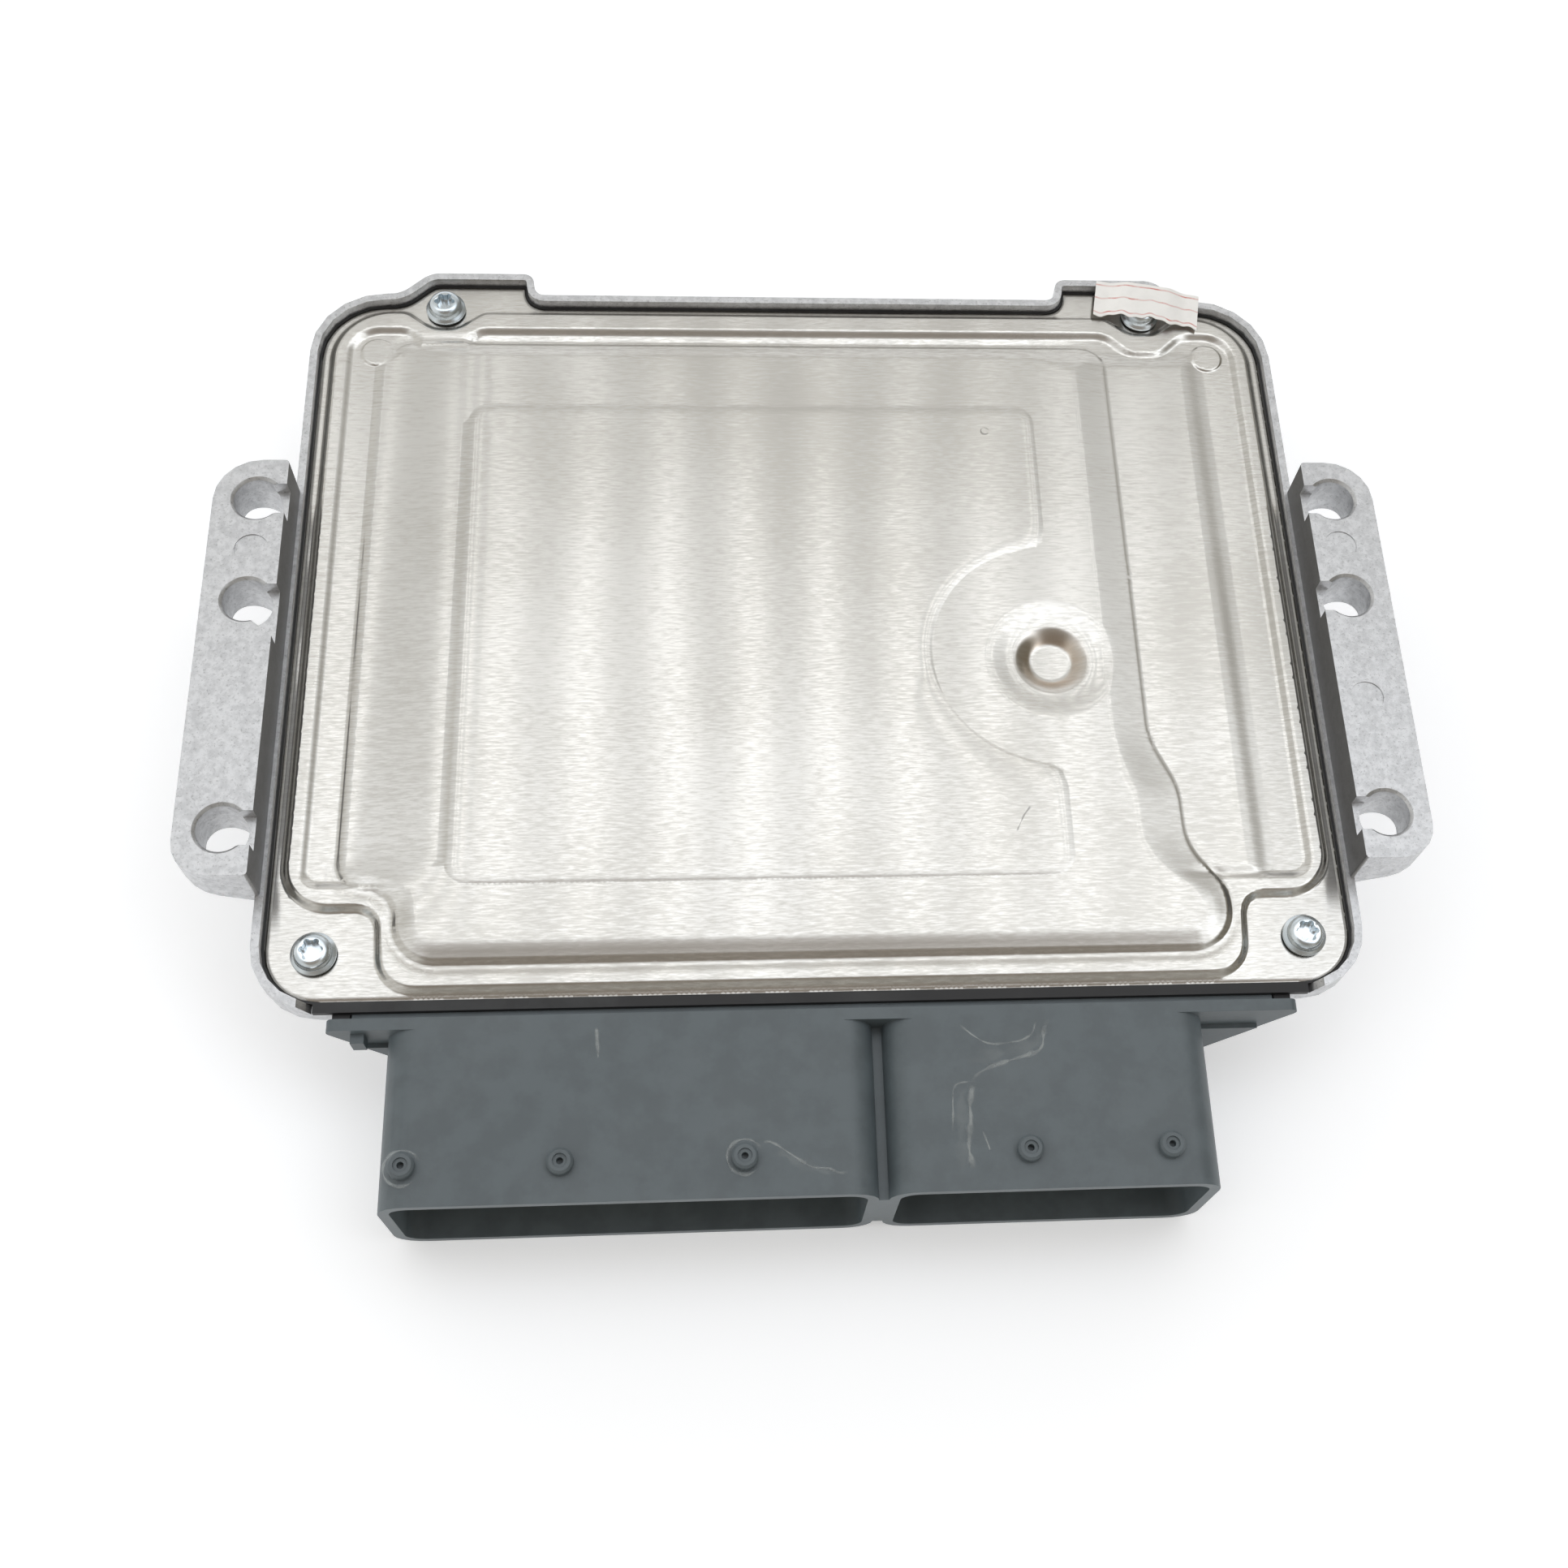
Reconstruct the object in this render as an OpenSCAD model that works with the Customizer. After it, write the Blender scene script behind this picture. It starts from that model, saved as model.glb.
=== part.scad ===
// Engine control unit: a die-cast housing with mounting ears, closed by a stamped cover,
// with a moulded connector header of two bays and a populated circuit board inside.
// Millimetres. X runs along the connector, Y points away from it, Z is up through the cover.
// The origin lies on the underside, below the middle of the outline.

/* [Housing] */
// Width of the housing across its rim
body_width = 184; // [176:1:200]
// Depth of the housing from the connector face to the rear of the rim
body_depth = 143; // [138:1:156]
// Height of the rim above the underside
housing_height = 28; // [26:0.5:34]
// Height of the thick band that forms the outside of the rim
rim_band = 5.5; // [4.5:0.5:8]
// Thickness of the upright lip around the cover
rim_wall = 1.4; // [1:0.1:1.8]
// Depth of the cover's seat below the top of the lip
lip_depth = 3; // [2.6:0.1:4]
// Width of the tray where it meets the rim band
tray_width = 157; // [156:0.5:160]
// Sideways run of the tray's flanks for each unit of their height
flank_slope = 0.64; // [0.5:0.02:0.66]
// How far the tray's rear wall is set in from the rim
tray_inset = 8; // [6:0.5:12]
// Thickness of the tray's walls
body_wall = 2.6; // [2:0.1:3.2]
// Thickness of the floor
floor_wall = 2.6; // [2:0.1:3.4]
// Corner radius of the rim at the rear
rear_corner_r = 13.5; // [10:0.5:13.5]
// Corner radius of the rim beside the connector
front_corner_r = 11; // [9:0.5:12]
// How far the screw tabs stand out of the rear rim
tab_reach = 5; // [4:0.5:7]

/* [Mounting ears] */
// Length of each ear
ear_length = 78.8; // [76:0.2:86]
// Width of each ear, measured from its inner face
ear_width = 12.4; // [11.6:0.1:15]
// Height of the ear's top face above the rim
ear_rise = 9.4; // [8:0.2:12]
// Thickness of the ear at its outer edge
ear_edge = 6; // [5:0.5:7.5]
// Distance from the rear of the rim to the rear of the ear
ear_setback = 44.7; // [40:0.1:48]
// Diameter of the mounting holes
hole_d = 8; // [6:0.1:8.4]
// Distance of the holes from the ear's inner face
hole_offset = 4.9; // [4.7:0.1:6]
// Distance from the rear of the ear to the rear hole
rear_hole = 8; // [7.5:0.1:10]
// Distance from the rear hole to the middle hole
middle_hole = 20.3; // [16:0.1:26]
// Distance from the rear hole to the front hole
front_hole = 62.6; // [50:0.1:63]
// Width of the notch from each hole to the ear's inner face
notch_width = 6; // [4:0.1:6.6]
// Depth of that notch below the ear's top
notch_depth = 2.8; // [1.5:0.1:4]

/* [Cover] */
// Thickness of the cover's sheet
sheet = 1; // [0.8:0.1:1.2]
// Gap between the cover's edge and the lip
cover_gap = 0.4; // [0.2:0.1:0.8]
// Thickness of the seal under the cover's edge
seal_thickness = 0.5; // [0.3:0.1:0.8]
// Rise from the cover's edge to its raised border
border_rise = 1.1; // [0.8:0.1:1.6]
// Drop from the border into the groove inside it
groove_drop = 0.7; // [0.5:0.1:1.2]
// Rise from the border to the large panel
panel_rise = 1; // [0.8:0.1:2]
// Rise of the shallow field above the panel
field_rise = 0.4; // [0.2:0.1:0.8]
// Height of the right-hand ledge above the groove
ledge_rise = 0.3; // [0.2:0.1:0.6]
// Diameter of the vent hole
vent_d = 6.6; // [4:0.2:8]
// Diameter of the dish around the vent hole
vent_dish_d = 13; // [12:0.5:16]
// Depth of that dish
vent_dish_depth = 2.5; // [1.5:0.1:3]

/* [Screws] */
// Diameter of the cover screws' shanks
screw_d = 4; // [3:0.1:4.4]
// Diameter of their flanged heads
screw_head_d = 7.4; // [6.6:0.1:8]
// Height of their heads
screw_head_h = 2.6; // [2.2:0.1:3.2]
// Length of their shanks below the head
screw_length = 9; // [7:0.5:11]

/* [Connector header] */
// Width of the larger bay
large_bay_width = 78.6; // [76:0.2:80]
// Width of the smaller bay
small_bay_width = 53.8; // [50:0.2:55]
// Height of both bays
bay_height = 26; // [24:0.5:26]
// Length of the bays in front of the flange
bay_reach = 28.5; // [26:0.5:34]
// Wall thickness of the bays
bay_wall = 1.8; // [1.4:0.1:2.2]
// Outer corner radius of the bays
bay_corner_r = 5; // [4:0.5:6]
// Depth of the open part of the bays
bay_depth = 22; // [20:0.5:23]
// Web between the two bays
bay_web = 1.6; // [1.2:0.1:2.4]
// Thickness of the flange
flange_thickness = 2; // [1.6:0.1:3]
// Drop from the rim to the top of the header
header_drop = 2; // [1.6:0.1:2.6]
// Thickness of the seal behind the flange
gasket_thickness = 1; // [0.6:0.1:1.6]

/* [Contacts] */
// Signal contacts in each row of the larger bay
large_bay_columns = 22; // [16:1:22]
// Signal contacts in each row of the smaller bay
small_bay_columns = 15; // [10:1:17]
// Pitch of the signal contacts
contact_pitch = 2.3; // [1.9:0.1:2.3]
// Pitch of the rows
row_pitch = 3.4; // [3:0.1:3.6]
// Thickness of a signal contact
contact_size = 0.64; // [0.5:0.02:0.8]
// Width of a power blade
blade_width = 2.8; // [2:0.1:3.2]
// Distance from the mouth of a bay to the contact tips
contact_recess = 9; // [7:0.5:11]

/* [Circuit board] */
// Thickness of the board
board_thickness = 1.6; // [1.2:0.1:2]
// Gap between the board and the lowest contacts above it
board_clearance = 0.8; // [0.4:0.1:1.6]
// Gap between the board and the walls
board_gap = 1.5; // [1:0.1:2]

/* [Hidden] */
$fn = 48;
// Straight pieces in one rounded corner of an outline
arc_steps = 5;
// Overlap that keeps cuts clean
cut = 1;

// Outline of the housing
half_width = body_width / 2;
header_reach = gasket_thickness + flange_thickness + bay_reach;
rear_y = (body_depth + header_reach - tab_reach) / 2;
front_y = rear_y - body_depth;
tab_y = rear_y + tab_reach;
tab_outer_x = half_width - 21.3;
tab_inner_x = half_width - 40.8;
tab_slope_run = 5.4;
tab_step_run = 0.6;
tab_slope_r = 5;
tab_step_r = 2;

// Heights
rim_z = housing_height;
ledge_z = rim_z - lip_depth;
band_z = rim_z - rim_band;
edge_z = ledge_z + seal_thickness + sheet;
border_z = edge_z + border_rise;
groove_z = border_z - groove_drop;
ledge_panel_z = groove_z + ledge_rise;
panel_z = border_z + panel_rise;
field_z = panel_z + field_rise;
ear_z = rim_z + ear_rise;

// Tray below the rim band
tray_half = tray_width / 2;
tray_rear_y = rear_y - tray_inset;
tray_corner_r = 12;
flank_wall = body_wall * sqrt(1 + flank_slope * flank_slope);
relief_depth = 0.8;
relief_rows = 2;
relief_columns = 3;
relief_rib = 4;
flank_rib = 3;

// Half the tray's width at a height.
function tray_half_at(z) = tray_half + (z - band_z) * flank_slope;

// Ears
ear_inset = 0.8;
ear_inner_x = half_width - ear_inset;
ear_outer_x = ear_inner_x + ear_width;
ear_rear_y = rear_y - ear_setback;
ear_front_y = ear_rear_y - ear_length;
ear_rear_r = 8;
ear_front_r = 6;
ear_root_drop = 1.8;
hole_x = ear_inner_x + hole_offset;
hole_rows = [rear_hole, rear_hole + middle_hole, rear_hole + front_hole];
hole_chamfer = 0.5;
ejector_mark_r = 2.9;
ejector_mark_depth = 0.2;
left_ear_marks = [18.3];
right_ear_marks = [17.8, 48.6];
worn_notch_run = 5;

// Cover screws: front pair in the corners, rear pair in the tabs
front_screw = [half_width - 9.9, front_y + 9.8];
rear_screw = [half_width - 24.4, rear_y - 2.6];
boss_r = screw_d / 2 + 2.5;

// Outline of the stamped border
edge_run = 2.4;
border_x = half_width - 3.2;
border_rear_y = rear_y - 2.7;
border_front_y = front_y + 2.4;
border_step_y = front_y + 16.8;
border_step_x = half_width - 18.8;
border_foot_x = half_width - 19.8;
scallop_half = 7;
scallop_floor_half = 2;
scallop_depth = 3.9;

// Outline of the groove inside the border
groove_run = 1.8;
groove_x = half_width - 8;
groove_rear_y = rear_y - 8.8;
groove_front_y = front_y + 21.8;
detour_outer = 8;
detour_floor_outer = 3;
detour_floor_inner = 3.4;
detour_depth = 4.6;
bridge_half = 6.2;

// Outline of the large panel and the field in it
panel_run = 4.2;
panel_left_x = -half_width + 11.9;
panel_rear_y = rear_y - 10.4;
panel_front_y = front_y + 7.3;
panel_right_x = half_width - 32.4;
panel_corner_cut = 5;
panel_step_y = front_y + 20.5;
panel_step_x = half_width - 21.7;
panel_toe_x = half_width - 22.2;
panel_waist_x = half_width - 27.9;
panel_waist_y = front_y + 26.5;
panel_flare_y = front_y + 37.5;
panel_flare_end_y = front_y + 47;
vent_x = panel_right_x - 16.4;
vent_setback = 62.7;
vent_y = front_y + vent_setback;
vent_floor_d = vent_d + 1;
field_left_x = -half_width + 30;
field_right_x = vent_x + 0.9;
field_rear_y = rear_y - 25.6;
field_front_y = front_y + 21;
field_run = 2.6;
vent_pad_r = 21.8;
vent_pad_x = vent_x + 0.5;
vent_pad_y = vent_y + 1.1;
vent_lead_d = vent_dish_d + 10;
vent_lead_drop = 0.4;
ledge_panel_x = half_width - 13.4;
ledge_panel_rear_y = rear_y - 20;
dimple_x = half_width - 12.2;
dimple_y = rear_y - 12.9;
dimple_r = 2.9;
dimple_rise = 0.5;

// Header
header_top_z = rim_z - header_drop;
header_foot_z = header_top_z - bay_height;
flange_back_y = front_y - gasket_thickness;
flange_front_y = flange_back_y - flange_thickness;
mouth_y = flange_front_y - bay_reach;
bay_back_y = mouth_y + bay_depth;
// Middle of the web between the bays, from the middle of the housing
web_x = 9.2;
bays_left_x = web_x - bay_web / 2 - large_bay_width;
large_bay_x = bays_left_x + large_bay_width / 2;
small_bay_x = web_x + (bay_web + small_bay_width) / 2;
flange_foot_z = header_foot_z + 2;
flange_corner_r = 1.4;
front_gap_half = tray_half_at(ledge_z) + lip_depth * flank_slope;
seal_clearance = 0.3;
flange_pad_drop = 5.5;
flange_pad_inset = 1.6;
flange_pad_rise = 0.8;
frame_width = 4.2;
frame_sill_z = floor_wall + 2.4;
neck_clearance = 0.3;
neck_depth = body_wall + 2.4;
lug_size = [2.2, 1.6, 3.6];
lug_z = header_top_z - flange_pad_drop;
boss_top_r = 2.1;
boss_top_height = 1.6;
boss_chamfer = 0.4;
boss_bore_r = 0.55;
boss_mouth_r = 1.15;
boss_mouth_depth = 0.35;
boss_setback = 6.3;
// Small bosses on top of the bays, from the left end of each bay
large_bay_bosses = [4.1, 28.5, 57.3];
small_bay_bosses = [22.5, 45.4];

// Contacts
row_count = 4;
row_lift = 1.4;
row_base_z = header_foot_z + bay_height / 2 + row_lift - row_pitch * (row_count - 1) / 2;
contact_tip_y = mouth_y + contact_recess;
blade_thickness = 0.8;
blade_pitch = 4.8;
blade_rows = 2;
blade_columns = 3;
bend_pitch = 2.8;
bend_start_y = front_y + neck_depth + 2;
tail_below_board = 0.8;
large_field_width = contact_pitch * (large_bay_columns - 1);
blade_gap = 4;
large_group_width = large_field_width + blade_gap + blade_pitch * (blade_columns - 1);
// Distances from the web to the nearest contacts of each bay
large_contact_margin = 8.35;
small_contact_margin = 10.8;
large_first_x = web_x - bay_web / 2 - large_contact_margin - large_group_width;
blade_first_x = large_first_x + large_field_width + blade_gap;
small_first_x = web_x + bay_web / 2 + small_contact_margin;

// Board and what sits on it
cavity_rear_y = tray_rear_y - body_wall;
cavity_front_y = front_y + body_wall;
board_top_z = row_base_z - contact_size / 2 - board_clearance;
board_z = board_top_z - board_thickness;
board_lift = board_z - floor_wall;
board_x = tray_half_at(board_z) - flank_wall - board_gap;
board_rear_y = cavity_rear_y - board_gap;
board_front_y = front_y + neck_depth + 0.6;
board_post_r = 3.6;
board_post_x = board_x - 5;
board_post_rear_y = board_rear_y - 5;
board_post_setback = 31;
board_post_front_y = front_y + board_post_setback;
board_screw_d = 3;
board_screw_head_d = 5.6;
board_screw_head_h = 2;
pad_thickness = 1.2;
pad_size = [34, 24];
pad_offsets = [[-30, -6], [34, 6]];

// Parts on the board: sizes, and places from the middle of the rear field or from the front posts
component_setback = 50;
board_field = [0, rear_y - component_setback];
controller_size = [27, 27, 2.2];
controller_offset = [-8, 0];
flash_size = [18.4, 12, 1.2];
flash_offset = [22, 8];
flash_lead_pitch = 1.6;
driver_size = [15.9, 11, 2.8];
driver_offset = [-50, -34];
driver_count = 3;
driver_pitch = 22;
driver_lead_pitch = 2.6;
transistor_size = [6.6, 6.1, 2.3];
transistor_tab = [5.4, 2.6, 0.6];
transistor_tab_y = (transistor_size[1] + transistor_tab[1]) / 2 - cut;
post_field = [0, board_post_front_y];
transistor_offset = [6, 12];
transistor_count = 6;
transistor_pitch = 10;
can_d = 10;
can_height = 10.2;
can_foot = 1.2;
can_offset = [-54, 22];
can_count = 3;
can_pitch = 15;
coil_d = 12;
coil_core_d = 10;
coil_height = 7;
coil_flange = 1.4;
coil_offset = [-36, 24];
crystal_size = [4.8, 11.2, 3.4];
crystal_r = 2.3;
crystal_offset = [-34, 0];
sensor_size = [8, 8, 2.4];
sensor_port_d = 4;
sensor_port_h = 4;
regulator_size = [15.9, 11, 3.2];
regulator_offset = [-36, -16];
transceiver_size = [5, 4, 1.5];
transceiver_offset = [4, -24];
transceiver_count = 2;
transceiver_pitch = 12;
transceiver_lead_pitch = 1.2;
ceramic_size = [1.6, 3.2, 1.3];
ceramic_count = 12;
ceramic_pitch = 3;
ceramic_row = controller_size[1] / 2 + 4.7;
shunt_size = [6.4, 3.2, 0.8];
shunt_offset = [57, 20];
shunt_count = 4;
shunt_pitch = 9;
diode_size = [3.6, 4.6, 2.3];
diode_offset = [4, 34];
diode_count = 6;
diode_pitch = 9;
chip_step = 0.4;
chip_waist = 0.6;
lead_length = 1.2;
lead_root = 0.1;
lead_height = 0.35;

// Place in the plan lifted to a height.
function at_height(p, z) = [p[0], p[1], z];

// Turns a vector into one of unit length.
function unit(v) = v / norm(v);

// Gives the outward side of a direction on an anticlockwise outline.
function outward(d) = [d[1], -d[0]];

// Corner i of an outline with its place, the directions in and out, and which way it turns.
function corner_frame(c, i) =
    let (
        n = len(c),
        p = [c[i][0], c[i][1]],
        before = c[(i + n - 1) % n],
        after = c[(i + 1) % n],
        d1 = unit(p - [before[0], before[1]]),
        d2 = unit([after[0], after[1]] - p)
    ) [p, d1, d2, cross(d1, d2) > 0 ? 1 : -1];

// Moves every side of an outline outwards by o and keeps its arcs concentric.
function grown(c, o) = [
    for (i = [0 : len(c) - 1])
        let (
            f = corner_frame(c, i),
            n1 = outward(f[1]),
            n2 = outward(f[2]),
            q = f[0] + o * (n1 + n2) / (1 + n1 * n2)
        ) [q[0], q[1], max(0.1, c[i][2] + f[3] * o)]
];

// Points of an outline of [x, y, radius] corners, with each corner as an arc.
function rounded(c) = [
    for (i = [0 : len(c) - 1])
        let (
            f = corner_frame(c, i),
            r = c[i][2],
            turn = acos(max(-1, min(1, f[1] * f[2]))),
            start = f[0] - f[1] * r * tan(turn / 2),
            centre = start - f[3] * r * outward(f[1]),
            a = atan2(start[1] - centre[1], start[0] - centre[0])
        )
        for (k = [0 : arc_steps])
            centre + r * [cos(a + f[3] * turn * k / arc_steps), sin(a + f[3] * turn * k / arc_steps)]
];

// Mirrors a half outline so that both halves make one anticlockwise outline.
function mirrored(c) = [for (i = [len(c) - 1 : -1 : 0]) [-c[i][0], c[i][1], c[i][2]]];

rim_half = [
    [half_width, front_y, front_corner_r],
    [half_width, rear_y, rear_corner_r],
    [tab_outer_x + tab_slope_run, rear_y, tab_slope_r],
    [tab_outer_x, tab_y, tab_slope_r],
    [tab_inner_x, tab_y, tab_step_r],
    [tab_inner_x - tab_step_run, rear_y, tab_step_r]
];
rim_outline = concat(rim_half, mirrored(rim_half));

tray_plan_half = [
    [tray_half, front_y, 0.6],
    [tray_half, tray_rear_y, tray_corner_r]
];
tray_plan = concat(tray_plan_half, mirrored(tray_plan_half));

border_half = [
    [border_foot_x, border_front_y, 7],
    [border_step_x, border_step_y, 3],
    [border_x, border_step_y, 8.5],
    [border_x, border_rear_y, rear_corner_r - 2],
    [rear_screw[0] + scallop_half, border_rear_y, 4],
    [rear_screw[0] + scallop_floor_half, border_rear_y - scallop_depth, 4],
    [rear_screw[0] - scallop_floor_half, border_rear_y - scallop_depth, 4],
    [rear_screw[0] - scallop_half, border_rear_y, 4]
];
border_outline = concat(border_half, mirrored(border_half));

groove_outline = [
    [groove_x, groove_front_y, 2.4],
    [groove_x, groove_rear_y, 4.5],
    [rear_screw[0] + detour_outer, groove_rear_y, 4],
    [rear_screw[0] + detour_floor_outer, groove_rear_y - detour_depth, 4.5],
    [rear_screw[0] - detour_floor_inner, groove_rear_y - detour_depth, 4.5],
    [rear_screw[0] - detour_outer, groove_rear_y, 4],
    [bridge_half - rear_screw[0], groove_rear_y, 1],
    [bridge_half - rear_screw[0] - 1, panel_rear_y - panel_run, 1],
    [1 - bridge_half - rear_screw[0], panel_rear_y - panel_run, 1],
    [-bridge_half - rear_screw[0], groove_rear_y, 1],
    [-groove_x, groove_rear_y, 4.5],
    [-groove_x, groove_front_y + 0.8, 1.6]
];

panel_outline = [
    [panel_step_x, panel_front_y, 4.5],
    [panel_toe_x + 0.4, panel_step_y - 2, 5],
    [panel_waist_x, panel_waist_y, 4],
    [panel_waist_x - 0.2, panel_flare_y, 6],
    [panel_right_x, panel_flare_end_y, 7],
    [panel_right_x, panel_rear_y, 5],
    [panel_left_x + panel_corner_cut, panel_rear_y, 2.5],
    [panel_left_x, panel_rear_y - panel_corner_cut, 2.5],
    [panel_left_x, panel_step_y, 5],
    [-panel_toe_x, panel_step_y, 4.5],
    [-panel_step_x, panel_front_y, 4.5]
];

field_outline = [
    [field_right_x, field_front_y, 4],
    [field_right_x, field_rear_y, 4],
    [field_left_x, field_rear_y, 4],
    [field_left_x, field_front_y, 4]
];

ledge_outline = [
    [ledge_panel_x, groove_front_y + 0.4, 2],
    [ledge_panel_x, ledge_panel_rear_y, 3],
    [panel_right_x - panel_run, ledge_panel_rear_y, 3],
    [panel_right_x - panel_run, groove_front_y + 0.4, 2]
];

// Flat shape of an outline, grown by o.
module outline(c, o = 0) {
    polygon(rounded(grown(c, o)));
}

// Solid between copies of one outline, each grown by an offset at its own height.
module loft(c, levels) {
    rings = [for (l = levels) [for (p = rounded(grown(c, l[0]))) [p[0], p[1], l[1]]]];
    n = len(rings[0]);
    last = len(rings) - 1;
    polyhedron(
        points = [for (r = rings) each r],
        faces = concat(
            [[for (i = [0 : n - 1]) i]],
            [[for (i = [n - 1 : -1 : 0]) last * n + i]],
            [for (j = [0 : last - 1]) for (i = [0 : n - 1])
                [j * n + i, (j + 1) * n + i, (j + 1) * n + (i + 1) % n, j * n + (i + 1) % n]]
        ),
        convexity = 8
    );
}

// Offsets and heights of a pressed wall with an eased foot and shoulder.
function pressed(run, low, high) = [
    for (s = [[0, 0], [0.28, 0.12], [0.72, 0.88], [1, 1]]) [s[0] * run, low + s[1] * (high - low)]
];

// Raises an outline out of the sheet, narrowing towards its top.
module raised(c, run, low, high) {
    loft(c, concat([[0, low - cut]], [for (l = pressed(run, low, high)) [-l[0], l[1]]]));
}

// Presses an outline into the sheet, widening towards its top.
module sunken(c, run, low, high) {
    loft(c, concat(pressed(run, low, high), [[run, high + 2 * cut]]));
}

// Places a child at each of the four cover screws.
module at_cover_screws() {
    for (side = [-1, 1])
        for (place = [front_screw, rear_screw])
            translate([side * place[0], place[1], 0])
                children();
}

// Places a child at each of the four board screws.
module at_board_posts() {
    for (side = [-1, 1])
        for (y = [board_post_front_y, board_post_rear_y])
            translate([side * board_post_x, y, 0])
                children();
}

// Box from its lowest and highest corners.
module block(low, high) {
    translate(low)
        cube(high - low);
}

// One mounting ear, on the right-hand side.
module ear(marks, worn_run) {
    difference() {
        intersection() {
            translate([0, ear_rear_y, 0])
                rotate([90, 0, 0])
                    linear_extrude(ear_length)
                        polygon([
                            [ear_inner_x, rim_z - ear_root_drop],
                            [half_width + 0.4, rim_z - ear_root_drop],
                            [ear_outer_x, ear_z - ear_edge],
                            [ear_outer_x, ear_z],
                            [ear_inner_x, ear_z]
                        ]);
            linear_extrude(ear_z + cut)
                outline([
                    [ear_inner_x, ear_front_y, 0.6],
                    [ear_outer_x, ear_front_y, ear_front_r],
                    [ear_outer_x, ear_rear_y, ear_rear_r],
                    [ear_inner_x, ear_rear_y, 0.6]
                ]);
        }
        for (row = hole_rows)
            translate([hole_x, ear_rear_y - row, ear_z - notch_depth])
                block([-hole_offset - cut, -notch_width / 2, 0], [0, notch_width / 2, notch_depth + cut]);
        translate([hole_x, ear_rear_y - hole_rows[1], ear_z - notch_depth])
            linear_extrude(notch_depth + cut)
                polygon([
                    [0, -notch_width / 2],
                    [-hole_offset - cut, -notch_width / 2 - worn_run],
                    [-hole_offset - cut, 0],
                    [0, 0]
                ]);
        for (mark = marks)
            translate([hole_x, ear_rear_y - mark, ear_z - ejector_mark_depth])
                cylinder(r = ejector_mark_r, h = cut);
    }
}

// Bores of the mounting ears, with their chamfers.
module ear_bores() {
    for (side = [-1, 1])
        for (row = hole_rows)
            translate([side * hole_x, ear_rear_y - row, 0]) {
                translate([0, 0, rim_z - ear_root_drop - cut])
                    cylinder(d = hole_d, h = ear_rise + ear_root_drop + 2 * cut);
                translate([0, 0, ear_z - hole_chamfer])
                    cylinder(d1 = hole_d, d2 = hole_d + 4 * hole_chamfer, h = 2 * hole_chamfer);
            }
}

// Section across the tray between two heights, with its flanks set in.
module tray_section(inset, low, high) {
    polygon([
        [-tray_half_at(low) + inset, low],
        [tray_half_at(low) - inset, low],
        [tray_half_at(high) - inset, high],
        [-tray_half_at(high) + inset, high]
    ]);
}

// Rib under the rim beside the tray's right flank.
module flank_ribs() {
    for (row = hole_rows)
        forward(ear_rear_y - row + flank_rib / 2, flank_rib)
            polygon([
                [tray_half_at(band_z / 2) - flank_wall, band_z / 2],
                [half_width - ear_inset, band_z],
                [half_width - ear_inset, band_z + cut],
                [tray_half - flank_wall, band_z + cut]
            ]);
}

// Outside of the casting: tray, rim band, screw bosses, ribs and ears.
module casting_outside() {
    intersection() {
        linear_extrude(band_z + cut)
            outline(tray_plan);
        forward(tray_rear_y, body_depth)
            tray_section(0, 0, band_z + cut);
    }
    translate([0, 0, band_z])
        linear_extrude(rim_band)
            outline(rim_outline);
    at_cover_screws()
        translate([0, 0, edge_z - screw_length - cut])
            cylinder(r = boss_r, h = screw_length + cut - sheet - seal_thickness);
    flank_ribs();
    mirror([1, 0, 0])
        flank_ribs();
    ear(right_ear_marks, 0);
    mirror([1, 0, 0])
        ear(left_ear_marks, worn_notch_run);
}

// Space inside the casting: board chamber, cover seat and the way out for the header.
module casting_inside() {
    intersection() {
        linear_extrude(rim_z + cut)
            outline(tray_plan, -body_wall);
        forward(tray_rear_y, body_depth)
            tray_section(flank_wall, floor_wall, rim_z);
    }
    translate([0, 0, ledge_z])
        linear_extrude(rim_z)
            outline(rim_outline, -rim_wall);
    forward(cavity_front_y + cut, body_wall + 2 * cut)
        tray_section(frame_width, frame_sill_z, rim_z + cut);
    forward(front_y + rim_wall + cut, rim_wall + 2 * cut)
        tray_section(tray_half_at(ledge_z) - front_gap_half, ledge_z, rim_z + cut);
}

// Shallow fields pressed into the underside between plain ribs.
module underside_relief() {
    width = 2 * tray_half_at(0) - 2 * body_wall - relief_rib;
    depth = body_depth - tray_inset - 2 * body_wall - relief_rib;
    step = [width / relief_columns, depth / relief_rows];
    middle_y = (front_y + tray_rear_y) / 2;
    for (column = [0 : relief_columns - 1])
        for (row = [0 : relief_rows - 1])
            translate([
                (column - (relief_columns - 1) / 2) * step[0],
                middle_y + (row - (relief_rows - 1) / 2) * step[1],
                -cut
            ])
                linear_extrude(cut + relief_depth)
                    outline([
                        for (c = [[1, -1], [1, 1], [-1, 1], [-1, -1]])
                            [c[0] * step[0] / 2, c[1] * step[1] / 2, tray_corner_r / 2]
                    ], -relief_rib / 2);
}

// Bosses, posts and cooling pads that stand inside the casting.
module casting_posts() {
    at_cover_screws()
        translate([0, 0, ledge_z - cut])
            cylinder(r = boss_r - 0.5, h = seal_thickness + cut);
    at_board_posts()
        translate([0, 0, floor_wall - cut])
            cylinder(r = board_post_r, h = board_lift + cut);
    for (offset = pad_offsets)
        translate(at_height(board_field + offset, floor_wall + (board_lift - pad_thickness - cut) / 2))
            cube([pad_size[0] + 2, pad_size[1] + 2, board_lift - pad_thickness + cut], center = true);
}

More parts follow.
